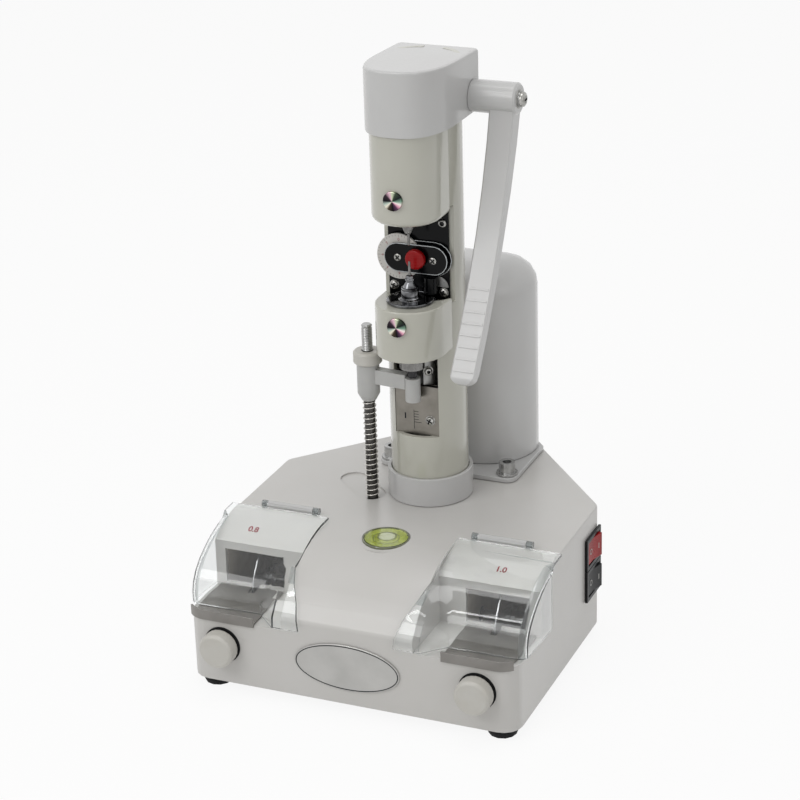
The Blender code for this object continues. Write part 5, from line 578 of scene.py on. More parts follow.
def add_spun(build: bmesh.types.BMesh, outline: Sequence[tuple[float, float]], place: Matrix,
             steps: int = ROUND_STEPS) -> list[bmesh.types.BMVert]:
    """Spin an outline of radii and heights about its axis.

    Args:
        build: the shape that it is added to.
        outline: radius and height of each point, from the bottom to the top.
        place: where the axis stands.
        steps: the faces round it.

    Returns:
        The new vertices.
    """
    before = set(build.verts)
    points = [build.verts.new((radius, 0.0, height)) for radius, height in outline]
    sides = [build.edges.new(pair) for pair in zip(points, points[1:])]
    bmesh.ops.spin(build, geom=points + sides, cent=(0, 0, 0), axis=(0, 0, 1), dvec=(0, 0, 0), angle=math.tau,
                   steps=steps, use_merge=True)
    fresh = [vert for vert in build.verts if vert not in before]
    bmesh.ops.remove_doubles(build, verts=fresh, dist=MERGE_DISTANCE)
    fresh = [vert for vert in build.verts if vert not in before]
    bmesh.ops.recalc_face_normals(build, faces=list({face for vert in fresh for face in vert.link_faces}))
    bmesh.ops.transform(build, matrix=place, verts=fresh)
    return fresh


def raise_faces(build: bmesh.types.BMesh, faces: Sequence[bmesh.types.BMFace], lift: Vector) -> None:
    """Give flat faces a thickness.

    Args:
        build: the shape that holds them.
        faces: the faces, which stay as the underside.
        lift: the way from them to their raised copies.
    """
    raised = bmesh.ops.extrude_face_region(build, geom=faces, use_keep_orig=True)["geom"]
    bmesh.ops.translate(build, vec=lift, verts=[part for part in raised if isinstance(part, bmesh.types.BMVert)])


def add_band(build: bmesh.types.BMesh, outer: tuple[float, float], inner: tuple[float, float], height: float,
             place: Matrix, steps: int = 2 * ROUND_STEPS, spread: float = 0.0) -> None:
    """Add a flat oval band, such as a printed ring.

    Args:
        build: the shape that it is added to.
        outer: its outer half width and half height.
        inner: its inner half width and half height.
        height: how thick it is.
        place: where its middle goes.
        steps: the faces round it.
        spread: how far its left and right halves are pulled out, with straight bands between them.
    """
    loops = []
    turned = Matrix.Rotation(math.pi / steps if spread else 0.0, 4, "Z")
    for half_width, half_height in (outer, inner):
        size = Matrix.Diagonal((half_width, half_height, 1.0, 1.0))
        ring = bmesh.ops.create_circle(build, radius=1.0, segments=steps, matrix=size @ turned)["verts"]
        for vert in ring:
            vert.co.x += math.copysign(spread, vert.co.x)
        bmesh.ops.transform(build, matrix=place, verts=ring)
        loops += list({side for vert in ring for side in vert.link_edges})
    band = bmesh.ops.bridge_loops(build, edges=loops)["faces"]
    raise_faces(build, band, place.to_3x3() @ Vector((0.0, 0.0, height)))


def add_bar(build: bmesh.types.BMesh, middle: tuple[float, float], size: tuple[float, float], place: Matrix) -> None:
    """Add a printed bar, flat on a surface.

    Args:
        build: the shape that it is added to.
        middle: its middle, from the place's origin.
        size: its width and height.
        place: the surface that it lies on.
    """
    lie = Matrix.Translation((*middle, 0.0)) @ Matrix.Diagonal((*size, PRINT_DEPTH, 1.0))
    bmesh.ops.create_cube(build, size=1.0, matrix=place @ lie)


def add_words(build: bmesh.types.BMesh, words: str, height: float, place: Matrix, bold: float = 0.0) -> None:
    """Add printed figures, centred on their place.

    Args:
        build: the shape that they are added to.
        words: what is printed.
        height: the letters' size.
        place: the surface that they lie on.
        bold: how much heavier each stroke is.
    """
    curve = bpy.data.curves.new("print", "FONT")
    curve.body = words
    curve.size = height
    curve.align_x = "CENTER"
    curve.align_y = "CENTER"
    curve.extrude = PRINT_DEPTH / 2
    curve.offset = bold
    curve.resolution_u = PRINT_STEPS
    source = bpy.data.objects.new("print", curve)
    mesh = bpy.data.meshes.new_from_object(source)
    before = set(build.verts)
    build.from_mesh(mesh)
    bmesh.ops.transform(build, matrix=place, verts=[vert for vert in build.verts if vert not in before])
    bpy.data.objects.remove(source)
    bpy.data.meshes.remove(mesh)


@dataclass(frozen=True)
class Screw:
    """A small screw head.

    Attributes:
        radius: its head's radius.
        height: how far it stands out.
        recess: the kind of its drive.
        width: how wide one arm of the drive is, or the socket across its flats.
        reach: how far the arms reach from the middle.
        sink: how deep the drive is.
        washer: the radius of the washer under it, or 0 for none.
        seat: the washer's thickness.
        seat_share: how much of that thickness its edge's chamfer takes.
    """

    radius: float
    height: float
    recess: Recess = Recess.CROSS
    width: float = 0.8 * MM
    reach: float = 1.7 * MM
    sink: float = 0.8 * MM
    washer: float = 0.0
    seat: float = 0.5 * MM
    seat_share: float = 0.3

    def add(self, build: bmesh.types.BMesh, place: Matrix) -> None:
        """Add the head, with its washer under it.

        Args:
            build: the shape that it is added to.
            place: where its underside goes.
        """
        head = bmesh.new()
        add_spun(head, [(self.radius * across, self.height * up) for across, up in HEAD_OUTLINE],
                 Matrix.Identity(4), SCREW_STEPS)
        self.sink_drive(head)
        lift = Matrix.Translation((0.0, 0.0, self.seat if self.washer else 0.0))
        bmesh.ops.transform(head, matrix=place @ lift, verts=head.verts)
        mesh = bpy.data.meshes.new("head")
        head.to_mesh(mesh)
        head.free()
        build.from_mesh(mesh)
        bpy.data.meshes.remove(mesh)
        if self.washer:
            edge = self.seat * self.seat_share
            add_spun(build, ((0.0, 0.0), (self.washer, 0.0), (self.washer, self.seat - edge),
                             (self.washer - edge, self.seat), (0.0, self.seat)), place)

    def sink_drive(self, head: bmesh.types.BMesh) -> None:
        """Cut the drive's outline into the head's top and push it in.

        Args:
            head: the head, standing on its origin.
        """
        across = {Recess.SLOT: (((0.0, 1.0), self.width / 2), ((1.0, 0.0), self.reach)),
                  Recess.CROSS: (((0.0, 1.0), self.width / 2), ((1.0, 0.0), self.width / 2),
                                 ((0.0, 1.0), self.reach), ((1.0, 0.0), self.reach)),
                  Recess.HEXAGON: tuple(((math.cos(turn), math.sin(turn)), self.width / 2)
                                        for turn in HEXAGON_TURNS)}[self.recess]
        for (x, y), distance in across:
            for way in (-1, 1):
                normal = Vector((x, y, 0.0)) * way
                bmesh.ops.bisect_plane(head, geom=head.verts[:] + head.edges[:] + head.faces[:], dist=MERGE_DISTANCE,
                                       plane_co=normal * distance, plane_no=normal)
        inside = [face for face in head.faces if face.normal.z > FACES_UP and self.holds(face.calc_center_median())]
        region = dict.fromkeys(part for face in inside for part in (face, *face.edges, *face.verts))
        pushed = bmesh.ops.extrude_face_region(head, geom=list(region))["geom"]
        sunk = [part for part in pushed if isinstance(part, bmesh.types.BMVert)]
        bmesh.ops.translate(head, vec=(0.0, 0.0, -self.sink), verts=sunk)
        # The drive's sunk faces take the second finish, the recess's painted shade.
        for face in {face for vert in sunk for face in vert.link_faces}:
            face.material_index = 1

    def holds(self, point: Vector) -> bool:
        """Tell whether the drive's outline holds a point of the head.

        Args:
            point: the point, from the head's middle.

        Returns:
            True if it lies inside the outline.
        """
        x, y = abs(point.x), abs(point.y)
        if self.recess is Recess.SLOT:
            return y < self.width / 2 and x < self.reach
        if self.recess is Recess.CROSS:
            return min(x, y) < self.width / 2 and max(x, y) < self.reach
        return all(abs(point.x * math.cos(turn) + point.y * math.sin(turn)) < self.width / 2
                   for turn in HEXAGON_TURNS)


@dataclass
class Casing:
    """The moulded casing with its base plate, feet, front plate and mains inlet."""

    edge: float = 0.6 * MM
    plate_edge: float = 0.2 * MM
    plate_front: float = -161.5 * MM
    plate_height: float = 37.5 * MM
    plate_half: tuple[float, float] = (40.0 * MM, 18.0 * MM)
    rim_inset: float = 0.9 * MM
    rim_width: float = 0.75 * MM
    bottom: float = 8.0 * MM
    posts: tuple[tuple[float, float], ...] = ((110 * MM, -25 * MM), (35 * MM, -148 * MM), (28 * MM, 104 * MM))
    post_screw: Screw = Screw(3.6 * MM, 1.8 * MM, reach=2.3 * MM, width=1.0 * MM, washer=5.0 * MM)
    inlet_rear: float = 122.3 * MM
    inlet_height: float = 48.0 * MM
    inlet_screw_reach: float = 20.0 * MM
    inlet_screw: Screw = Screw(2.7 * MM, 1.3 * MM, reach=1.7 * MM)

    def build(self) -> None:
        """Dress the casing and what is fixed to its outside."""
        finer("base_shell", WHITE_CASING, self.edge)
        finer("base_plate", DARK_STEEL, self.plate_edge)
        finer("name_plate", SATIN_SILVER, self.plate_edge)
        finer("mains_inlet", BLACK_PLASTIC, self.plate_edge)
        for row in ("front", "rear"):
            for side in Side:
                finer(f"rubber_foot_{row}_{side.value}", RUBBER, self.edge)
        self.rim_plate()
        self.fasten()

    def rim_plate(self) -> None:
        """Run a dark line round the front plate, just inside its edge."""
        build = bmesh.new()
        outer = tuple(half - self.rim_inset for half in self.plate_half)
        inner = tuple(half - self.rim_width for half in outer)
        place = place_on(spot(0.0, self.plate_front, self.plate_height), Vector((0.0, -1.0, 0.0)))
        add_band(build, outer, inner, PRINT_DEPTH, place)
        finish_piece("front_plate_rim", build, BLACK_INK)

    def fasten(self) -> None:
        """Add the screws of the base plate, seen from below, and of the inlet's flange."""
        below = bmesh.new()
        behind = bmesh.new()
        for side in Side:
            for x, y in self.posts:
                self.post_screw.add(below, place_on(spot(side.sign * x, y, self.bottom), -UP, BACK))
            place = spot(side.sign * self.inlet_screw_reach, self.inlet_rear, self.inlet_height)
            self.inlet_screw.add(behind, place_on(place - BACK * self.inlet_screw.height, BACK))
        finish_piece("base_plate_screws", below, SCREW_STEEL, RECESS_PAINTED_SHADE)
        finish_piece("inlet_screws", behind, SCREW_STEEL, RECESS_PAINTED_SHADE)


@dataclass
class Level:
    """The round spirit level let into the casing's top.

    Attributes:
        dome: how far out each point of the cover's crown lies and how far it falls, as shares of the
            inner radius and the edge.
        drift: how far the bubble lies from the middle.
    """

    centre: tuple[float, float] = (0.0, -85.5 * MM)
    radius: float = 17.2 * MM
    floor: float = 99.3 * MM
    well: float = 101.0 * MM
    fluid_top: float = 103.0 * MM
    cover: float = 103.3 * MM
    top: float = 104.8 * MM
    wall: float = 1.4 * MM
    edge: float = 0.5 * MM
    ring: float = 9.6 * MM
    ring_width: float = 0.7 * MM
    bubble: float = 7.2 * MM
    bubble_rim: float = 1.3 * MM
    dome: tuple[tuple[float, float], ...] = ((0.8, 0.4), (0.4, 0.1))
    drift: tuple[float, float] = (-0.5 * MM, 2.6 * MM)

    def build(self) -> None:
        """Build the cup, the dyed fluid with its ring and bubble, and the clear cover."""
        middle = Matrix.Translation(spot(*self.centre, 0.0))
        inner = self.radius - self.wall
        shoulder = self.top - self.edge
        cup = bmesh.new()
        add_spun(cup, ((0.0, self.floor), (self.radius, self.floor), (self.radius, shoulder - self.edge),
                       (self.radius - self.edge, shoulder), (inner + self.edge, shoulder),
                       (inner, shoulder - self.edge), (inner, self.well), (0.0, self.well)), middle)
        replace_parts(finish_piece("level_cup", cup, LEVEL_CUP), "level_vial")
        fluid = bmesh.new()
        add_spun(fluid, ((0.0, self.well), (inner - self.edge / 2, self.well),
                         (inner - self.edge / 2, self.fluid_top), (0.0, self.fluid_top)), middle)
        finish_piece("level_fluid", fluid, LEVEL_FLUID)
        self.mark(middle)
        cover = bmesh.new()
        add_spun(cover, ((0.0, self.cover), (inner - self.edge / 4, self.cover), (inner - self.edge / 4, shoulder),
                         *((inner * across, self.top - self.edge * fall) for across, fall in self.dome),
                         (0.0, self.top)), middle)
        finish_piece("level_cover", cover, LEVEL_COVER)

    def mark(self, middle: Matrix) -> None:
        """Print the target ring and lay the bubble, which has drifted a little to the back, with a dark ring of
        painted shade at its edge.

        Args:
            middle: the place of the level's axis.
        """
        ring = bmesh.new()
        inside = self.ring - self.ring_width
        above = middle @ Matrix.Translation((0.0, 0.0, self.fluid_top))
        add_band(ring, (self.ring, self.ring), (inside, inside), PRINT_DEPTH, above)
        finish_piece("level_ring", ring, OLIVE_INK)
        drifted = above @ Matrix.Translation((*self.drift, 0.0))
        bubble = bmesh.new()
        flat = self.bubble - self.bubble_rim
        add_spun(bubble, ((0.0, 0.0), (flat, 0.0), (flat, PRINT_DEPTH), (0.0, 2 * PRINT_DEPTH)), drifted)
        finish_piece("level_bubble", bubble, BUBBLE)
        # A dark ring round the bubble: painted shade where its curved edge turns the light away.
        rim = bmesh.new()
        add_band(rim, (self.bubble, self.bubble), (flat, flat), PRINT_DEPTH, drifted)
        finish_piece("level_bubble_painted_edge_shade", rim, OLIVE_INK)


@dataclass
class Switches:
    """The two rocker switches in the casing's right side."""

    edge: float = 0.3 * MM
    heights: tuple[tuple[str, float], ...] = (("red", 75.8 * MM), ("black", 50.5 * MM))
    off_point: tuple[float, float] = (126.83 * MM, -5.0 * MM)
    off_slope: tuple[float, float] = (0.9995, -0.0314)
    on_point: tuple[float, float] = (128.78 * MM, 6.9 * MM)
    on_slope: tuple[float, float] = (0.9600, -0.2800)
    mark: float = 2.2 * MM
    stroke: float = 0.6 * MM
    bar: float = 0.72 * MM

    def build(self) -> None:
        """Dress the switches and print their two marks."""
        for colour, height in self.heights:
            finer(f"{colour}_switch_housing", BLACK_PLASTIC, self.edge)
            finer(f"{colour}_rocker", RED_PLASTIC if colour == "red" else BLACK_PLASTIC, self.edge)
            build = bmesh.new()
            inner = self.mark - self.stroke
            off = place_on(spot(*self.off_point, height), Vector((*self.off_slope, 0.0)))
            add_band(build, (self.mark, self.mark), (inner, inner), PRINT_DEPTH, off, ROUND_STEPS)
            on = place_on(spot(*self.on_point, height), Vector((*self.on_slope, 0.0)))
            add_bar(build, (0.0, 0.0), (self.bar, 2 * self.mark), on)
            finish_piece(f"{colour}_rocker_marks", build, WHITE_INK, body=f"{colour}_rocker")


@dataclass
class Station:
    """A slotting station: its tray, cutter, clear visor, hinge and knob.

    Attributes:
        side: which of the two it is.
        size: the cutter's width, as printed on the casing's slope.
    """

    side: Side
    size: str
    edge: float = 0.2 * MM
    tray_edge: float = 0.3 * MM
    knob_edge: float = 1.0 * MM
    visor_edge: float = 0.55 * MM
    visor_wall: float = 2.6 * MM
    print_x: float = 95.8 * MM
    print_shift: float = -3.6 * MM
    print_point: tuple[float, float] = (-97.6 * MM, 98.96 * MM)
    print_slope: tuple[float, float] = (-0.3714, 0.9285)
    print_height: float = 6.7 * MM
    print_bold: float = 0.20 * MM
    knob_x: float = 97.2 * MM
    knob_height: float = 37.9 * MM
    # The black ring round the knob: painted shade for the gap between the knob and the casing.
    gap_shade_radius: float = 13.9 * MM
    gap_shade_inner: float = 8.0 * MM
    gap_shade_depth: float = 0.5 * MM
    front: float = -160.0 * MM

    def build(self) -> None:
        """Dress the station's pieces and add its print and the dark ring of painted shade round its knob."""
        side = self.side.value
        # The tray's rounded edges take the brighter steel: a painted highlight along its lip.
        finer(f"tray_{side}", TRAY_STEEL, self.tray_edge, BRIGHT_STEEL)
        finer(f"splash_box_{side}", BOX_STEEL)
        finer(f"cutter_disc_{side}", DISC_STEEL)
        finer(f"cutter_arbor_{side}", BRIGHT_STEEL, self.edge / 2)
        finer(f"cutter_motor_{side}", MOTOR_BLACK, self.edge)
        # The visor's narrow walls and rounded edges take its painted highlight.
        finer(f"visor_{side}", CLEAR_VISOR, self.visor_edge, VISOR_EDGE_PAINTED_HIGHLIGHT, self.visor_wall)
        finer(f"hinge_{side}", WHITE_PLASTIC, self.edge)
        finer(f"knob_{side}", IVORY_PLASTIC, self.knob_edge)
        self.print_size()
        self.add_gap_shade()

    def print_size(self) -> None:
        """Print the cutter's width on the slope above the window."""
        build = bmesh.new()
        place = spot(self.side.sign * self.print_x + self.print_shift, *self.print_point)
        add_words(build, self.size, self.print_height, place_on(place, Vector((0.0, *self.print_slope))),
                  self.print_bold)
        finish_piece(f"cutter_size_{self.side.value}", build, RED_INK)

    def add_gap_shade(self) -> None:
        """Lay a ring of black rubber finish between the knob and the casing: painted shade for the dark gap round the
        knob.
        """
        build = bmesh.new()
        place = place_on(spot(self.side.sign * self.knob_x, self.front, self.knob_height), -BACK)
        lip = self.gap_shade_depth / 3
        add_spun(build, ((self.gap_shade_inner, 0.0), (self.gap_shade_radius, 0.0), (self.gap_shade_radius, self.gap_shade_depth - lip),
                         (self.gap_shade_radius - lip, self.gap_shade_depth), (self.gap_shade_inner, self.gap_shade_depth),
                         (self.gap_shade_inner, 0.0)), place)
        finish_piece(f"knob_gap_painted_shade_{self.side.value}", build, RUBBER)


@dataclass
class Stand:
    """The column with its foot and the rear housing."""

    edge: float = 0.5 * MM
    foot_edge: float = 0.8 * MM
    screw_edge: float = 0.25 * MM

    def build(self) -> None:
        """Dress the column, its foot and screws, and the housing with what it covers."""
        finer("column", CREAM_ENAMEL, self.edge)
        finer("column_foot", WHITE_PLASTIC, self.foot_edge)
        finer("rear_housing", WHITE_PLASTIC, self.edge)
        finer("transformer", CORE_STEEL, self.screw_edge)
        for side in Side:
            finer(f"foot_screw_{side.value}", BRIGHT_STEEL, self.screw_edge)


@dataclass
class Heads:
    """The two drill heads, the cap with its lever, and the spindles in them.

    Attributes:
        cap_fall: how much lower the cap's top is at the back.
        face_gloss: the least and the most roughness of the spiral-faced screws.
        face_grain: how deep their spiral is.
        rest_outline: radius and height of each point of the lens rest, in millimetres.
        arm_sides: the lever's inner and outer side.
        arm_lean: how far the arm leans inwards for each metre of its reach beyond the hub.
        tip_end: depth and height of the tip.
        tip_way: the way in which the arm points there.
    """

    edge: float = 0.5 * MM
    head_edge: float = 1.4 * MM
    head_steps: int = 4
    cap_edge: float = 0.9 * MM
    cap_fall: float = 3.6 * MM
    cap_depth: tuple[float, float] = (-56.0 * MM, 35.2 * MM)
    cap_heights: tuple[float, float] = (391.0 * MM, 437.0 * MM)
    fine_edge: float = 0.15 * MM
    face_front: float = -56.3 * MM
    face_rear: float = -52.1 * MM
    face_radius: float = 7.0 * MM
    face_edge: float = 0.6 * MM
    face_gloss: tuple[float, float] = (0.12, 0.22)
    face_grain: float = 0.004 * MM
    face_heights: tuple[tuple[str, float], ...] = (("upper", 346.0 * MM), ("lower", 253.0 * MM))
    rest_y: float = -29.0 * MM
    rest_outline: tuple[tuple[float, float], ...] = (
        (1.8, 264.3), (16.8, 264.3), (17.0, 264.5), (17.0, 265.7), (16.6, 266.1), (15.2, 266.2),
        (14.9, 265.9), (8.4, 265.9), (8.0, 266.3), (7.0, 266.5), (6.5, 267.1), (6.3, 267.5),
        (6.3, 272.2), (6.0, 272.6), (5.5, 272.7), (5.5, 273.2), (6.1, 273.4), (6.2, 273.7),
        (6.2, 274.3), (5.9, 274.6), (5.2, 274.7), (4.6, 275.6), (3.2, 277.7), (2.8, 278.2),
        (2.7, 278.6), (2.7, 279.5), (3.2, 279.7), (3.3, 280.0), (3.3, 280.8), (3.1, 281.1),
        (2.6, 281.2), (2.6, 282.7), (2.4, 283.0), (1.8, 283.2), (1.8, 264.3))
    arm_sides: tuple[float, float] = (45.85 * MM, 64.45 * MM)
    tip_end: tuple[float, float] = (-59.0 * MM, 217.4 * MM)
    tip_way: tuple[float, float] = (-0.542, -0.840)
    tip_radius: float = 8.6 * MM
    hub_radius: float = 11.6 * MM
    arm_lean: float = 0.026
    tip_steps: int = 6
    hub_point: tuple[float, float, float] = (65.5 * MM, 20.0 * MM, 403.3 * MM)
    hub_screw: Screw = Screw(5.4 * MM, 4.4 * MM, reach=2.8 * MM, width=1.3 * MM, sink=0.9 * MM, washer=6.6 * MM)

    def build(self) -> None:
        """Dress the heads and their spindles, and add the spun screws and the hub's screw."""
        for head in ("upper_head", "lower_head"):
            finer(head, CREAM_ENAMEL, self.head_edge, steps=self.head_steps)
        self.shape_cap()
        self.shape_lever()
        finer("lever_shaft", BRIGHT_STEEL, self.fine_edge)
        finer("idler_gear", BRIGHT_STEEL)
        finer("feed_carriage", ALUMINIUM, self.fine_edge)
        finer("upper_motor", MOTOR_BLACK, self.fine_edge)
        finer("upper_spindle", SPINDLE_STEEL, self.fine_edge)
        finer("lower_spindle", SPINDLE_STEEL)
        finer("lower_quill", SPINDLE_STEEL, self.fine_edge)
        self.turn_rest()
        self.face_screws()
        hub = bmesh.new()
        self.hub_screw.add(hub, place_on(spot(*self.hub_point), Vector((1.0, 0.0, 0.0))))
        finish_piece("lever_hub_screw", hub, SCREW_STEEL, RECESS_PAINTED_SHADE, "lever")

    def shape_cap(self) -> None:
        """Let the cap's top fall a little to the back, as moulded, and soften its edges."""
        build = merged("head_cap")
        front, depth = spot(0.0, self.cap_depth[0], 0.0).y, self.cap_depth[1] - self.cap_depth[0]
        low, high = self.cap_heights
        for vert in build.verts:
            back = (vert.co.y - front) / depth
            vert.co.z -= self.cap_fall * back * (vert.co.z - low) / (high - low)
        round_edges(build, self.cap_edge)
        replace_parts(finish_piece("head_cap_finish", build, WHITE_PLASTIC), "head_cap")

    def shape_lever(self) -> None:
        """Round the lever's tip like a tongue, lean its arm inwards and soften its edges."""
        build = merged("lever")
        hub = spot(*self.hub_point)
        for vert in build.verts:
            reach = math.hypot(vert.co.y - hub.y, vert.co.z - hub.z)
            vert.co.x -= self.arm_lean * max(reach - self.hub_radius, 0.0)
        along = Vector((0.0, *self.tip_way)).normalized()
        lean = self.arm_lean * math.dist(self.tip_end, self.hub_point[1:])
        for way, side in zip((-1, 1), self.arm_sides):
            across = Vector((way, 0.0, 0.0))
            centre = spot(side - lean - way * self.tip_radius, *self.tip_end) - along * self.tip_radius
            for step in range(1, self.tip_steps):
                turn = math.pi / 2 * step / self.tip_steps
                outward = along * math.cos(turn) + across * math.sin(turn)
                cut = bmesh.ops.bisect_plane(build, geom=build.verts[:] + build.edges[:] + build.faces[:],
                                             dist=MERGE_DISTANCE, plane_co=centre + outward * self.tip_radius,
                                             plane_no=outward, clear_outer=True)["geom_cut"]
                open_sides = [part for part in cut if isinstance(part, bmesh.types.BMEdge) and part.is_boundary]
                bmesh.ops.holes_fill(build, edges=open_sides, sides=0)
        round_edges(build, self.edge)
        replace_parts(finish_piece("lever_finish", build, WHITE_PLASTIC, body="lever"), "lever")

    def turn_rest(self) -> None:
        """Turn the chromed rest that the lens lies on, with its collars and its bore."""
        build = bmesh.new()
        add_spun(build, [(radius * MM, height * MM) for radius, height in self.rest_outline],
                 Matrix.Translation(spot(0.0, self.rest_y, 0.0)))
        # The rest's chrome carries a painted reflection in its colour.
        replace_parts(finish_piece("lens_rest_turned", build, CHROME_PAINTED_REFLECTION), "lens_rest")

    def face_screws(self) -> None:
        """Turn the two flat screw heads, with the coloured light that their fine spiral splits painted into their
        colour.
        """
        length = self.face_rear - self.face_front
        for name, height in self.face_heights:
            build = bmesh.new()
            place = place_on(spot(0.0, self.face_rear, height), -BACK)
            add_spun(build, ((0.0, 0.0), (self.face_radius, 0.0), (self.face_radius, length - self.face_edge),
                             (self.face_radius - self.face_edge / 3, length - self.face_edge / 3),
                             (self.face_radius - self.face_edge, length), (0.0, length)), place)
            finish = PaintedSpiralFace(f"steel_spiral_painted_reflection_{name}", "steel", "#8A8A8C", "#7A7A7C", roughness=self.face_gloss,
                              metallic=1.0, depth=self.face_grain, centre=tuple(spot(0.0, self.face_front, height)))
            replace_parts(finish_piece(f"head_screw_{name}_face", build, finish), f"head_screw_{name}")


@dataclass
class Gauge:
    """The depth gauge between the heads: plates, dial, button and their screws.

    Attributes:
        figure_every: how many ticks there are to a figure.
        long_share: how much longer the tick at a figure is.
        plate_turn: the way in which the back plate's screws stopped turning.
        highlight_centre: how far the middles of the oval's round ends lie from its own.
    """

    edge: float = 0.2 * MM
    rim_edge: float = 0.6 * MM
    dial_x: float = -13.4 * MM
    dial_height: float = 291.5 * MM
    dial_front: float = -15.8 * MM
    tick_outer: float = 16.2 * MM
    tick_length: float = 1.2 * MM
    tick_width: float = 0.3 * MM
    tick_count: int = 40
    figure_every: int = 5
    long_share: float = 1.6
    figure_radius: float = 12.6 * MM
    figure_height: float = 3.0 * MM
    oval_front: float = -17.7 * MM
    plate_front: float = -11.8 * MM
    oval_screw: Screw = Screw(2.8 * MM, 1.3 * MM, reach=2.0 * MM, width=1.1 * MM)
    plate_screw: Screw = Screw(3.0 * MM, 1.6 * MM, reach=2.1 * MM, width=1.2 * MM, washer=3.6 * MM)
    socket_screw: Screw = Screw(3.0 * MM, 1.8 * MM, Recess.HEXAGON, 3.4 * MM, sink=1.2 * MM)
    plate_turn: tuple[float, float, float] = (0.4, 0.0, 1.0)
    plate_places: tuple[tuple[float, float], ...] = ((-19.2 * MM, 268.2 * MM), (18.6 * MM, 266.6 * MM))
    socket_places: tuple[tuple[float, float], ...] = ((19.0 * MM, 318.2 * MM), (-19.0 * MM, 318.2 * MM))
    quarter_corner: tuple[float, float] = (14.6 * MM, 270.6 * MM)
    quarter_radius: float = 8.0 * MM
    quarter_depth: float = 0.9 * MM
    button_edge: float = 0.7 * MM
    highlight_centre: float = 13.4 * MM
    highlight_radius: float = 10.6 * MM
    line_width: float = 0.4 * MM

    def build(self) -> None:
        """Dress the gauge, mark its dial and fasten its plates."""
        finer("back_plate", BLACK_PLATE, self.edge)
        # The frame's rounded edges take the painted highlight of the cut edge.
        finer("gauge_frame", BLACK_PLATE, self.rim_edge, CUT_EDGE_PAINTED_HIGHLIGHT)
        self.paint_oval_highlight()
        finer("dial_wheel", DIAL_WHITE, self.edge)
        finer("red_button", RED_PLASTIC, self.button_edge)
        self.mark_dial()
        self.fasten()
        self.lay_quarter()

    def paint_oval_highlight(self) -> None:
        """Lay a pale band round the front oval: a painted highlight of its cut edge."""
        build = bmesh.new()
        inside = self.highlight_radius - self.line_width
        face = place_on(spot(0.0, self.oval_front, self.dial_height), -BACK)
        add_band(build, (self.highlight_radius, self.highlight_radius), (inside, inside), PRINT_DEPTH, face,
                 spread=self.highlight_centre)
        finish_piece("oval_painted_highlight", build, CUT_EDGE_PAINTED_HIGHLIGHT)

    def mark_dial(self) -> None:
        """Print the dial's ticks in grey and its figures in red."""
        ticks, figures = bmesh.new(), bmesh.new()
        face = place_on(spot(self.dial_x, self.dial_front, self.dial_height), -BACK)
        for index in range(self.tick_count):
            around = face @ Matrix.Rotation(-math.tau * index / self.tick_count, 4, "Z")
            length = self.tick_length * (1.0 if index % self.figure_every else self.long_share)
            add_bar(ticks, (0.0, self.tick_outer - length / 2), (self.tick_width, length), around)
            if index % self.figure_every == 0:
                stand = around @ Matrix.Translation((0.0, self.figure_radius, 0.0))
                add_words(figures, str(index // self.figure_every), self.figure_height, stand)
        finish_piece("dial_ticks", ticks, DIAL_INK, body="dial")
        finish_piece("dial_figures", figures, RED_INK, body="dial")

    def fasten(self) -> None:
        """Add the screws of the front oval and of the back plate."""
        build = bmesh.new()
        for side in Side:
            place = spot(side.sign * -self.dial_x, self.oval_front, self.dial_height)
            self.oval_screw.add(build, place_on(place, -BACK, Vector((side.sign, 0.0, 1.0))))
        for screw, places in ((self.plate_screw, self.plate_places), (self.socket_screw, self.socket_places)):
            for x, height in places:
                screw.add(build, place_on(spot(x, self.plate_front, height), -BACK, Vector(self.plate_turn)))
        finish_piece("gauge_screws", build, SCREW_STEEL, RECESS_PAINTED_SHADE)

    def lay_quarter(self) -> None:
        """Lay the small quarter-round cover beside the lens rest."""
        build = bmesh.new()
        x, height = self.quarter_corner
        turns = [math.tau * step / ROUND_STEPS for step in range(ROUND_STEPS // 4 + 1)]
        rim = [(x + self.quarter_radius * math.cos(turn), height + self.quarter_radius * math.sin(turn))
               for turn in turns]
        corners = [build.verts.new(spot(px, self.plate_front, pz)) for px, pz in [(x, height), *rim]]
        raise_faces(build, [build.faces.new(corners)], -BACK * self.quarter_depth)
        bmesh.ops.recalc_face_normals(build, faces=build.faces)
        bmesh.ops.bevel(build, geom=build.edges[:], offset=self.edge / 2, segments=EDGE_STEPS, profile=0.5,
                        affect="EDGES", clamp_overlap=True, material=-1)
        finish_piece("quarter_cover", build, ALUMINIUM)


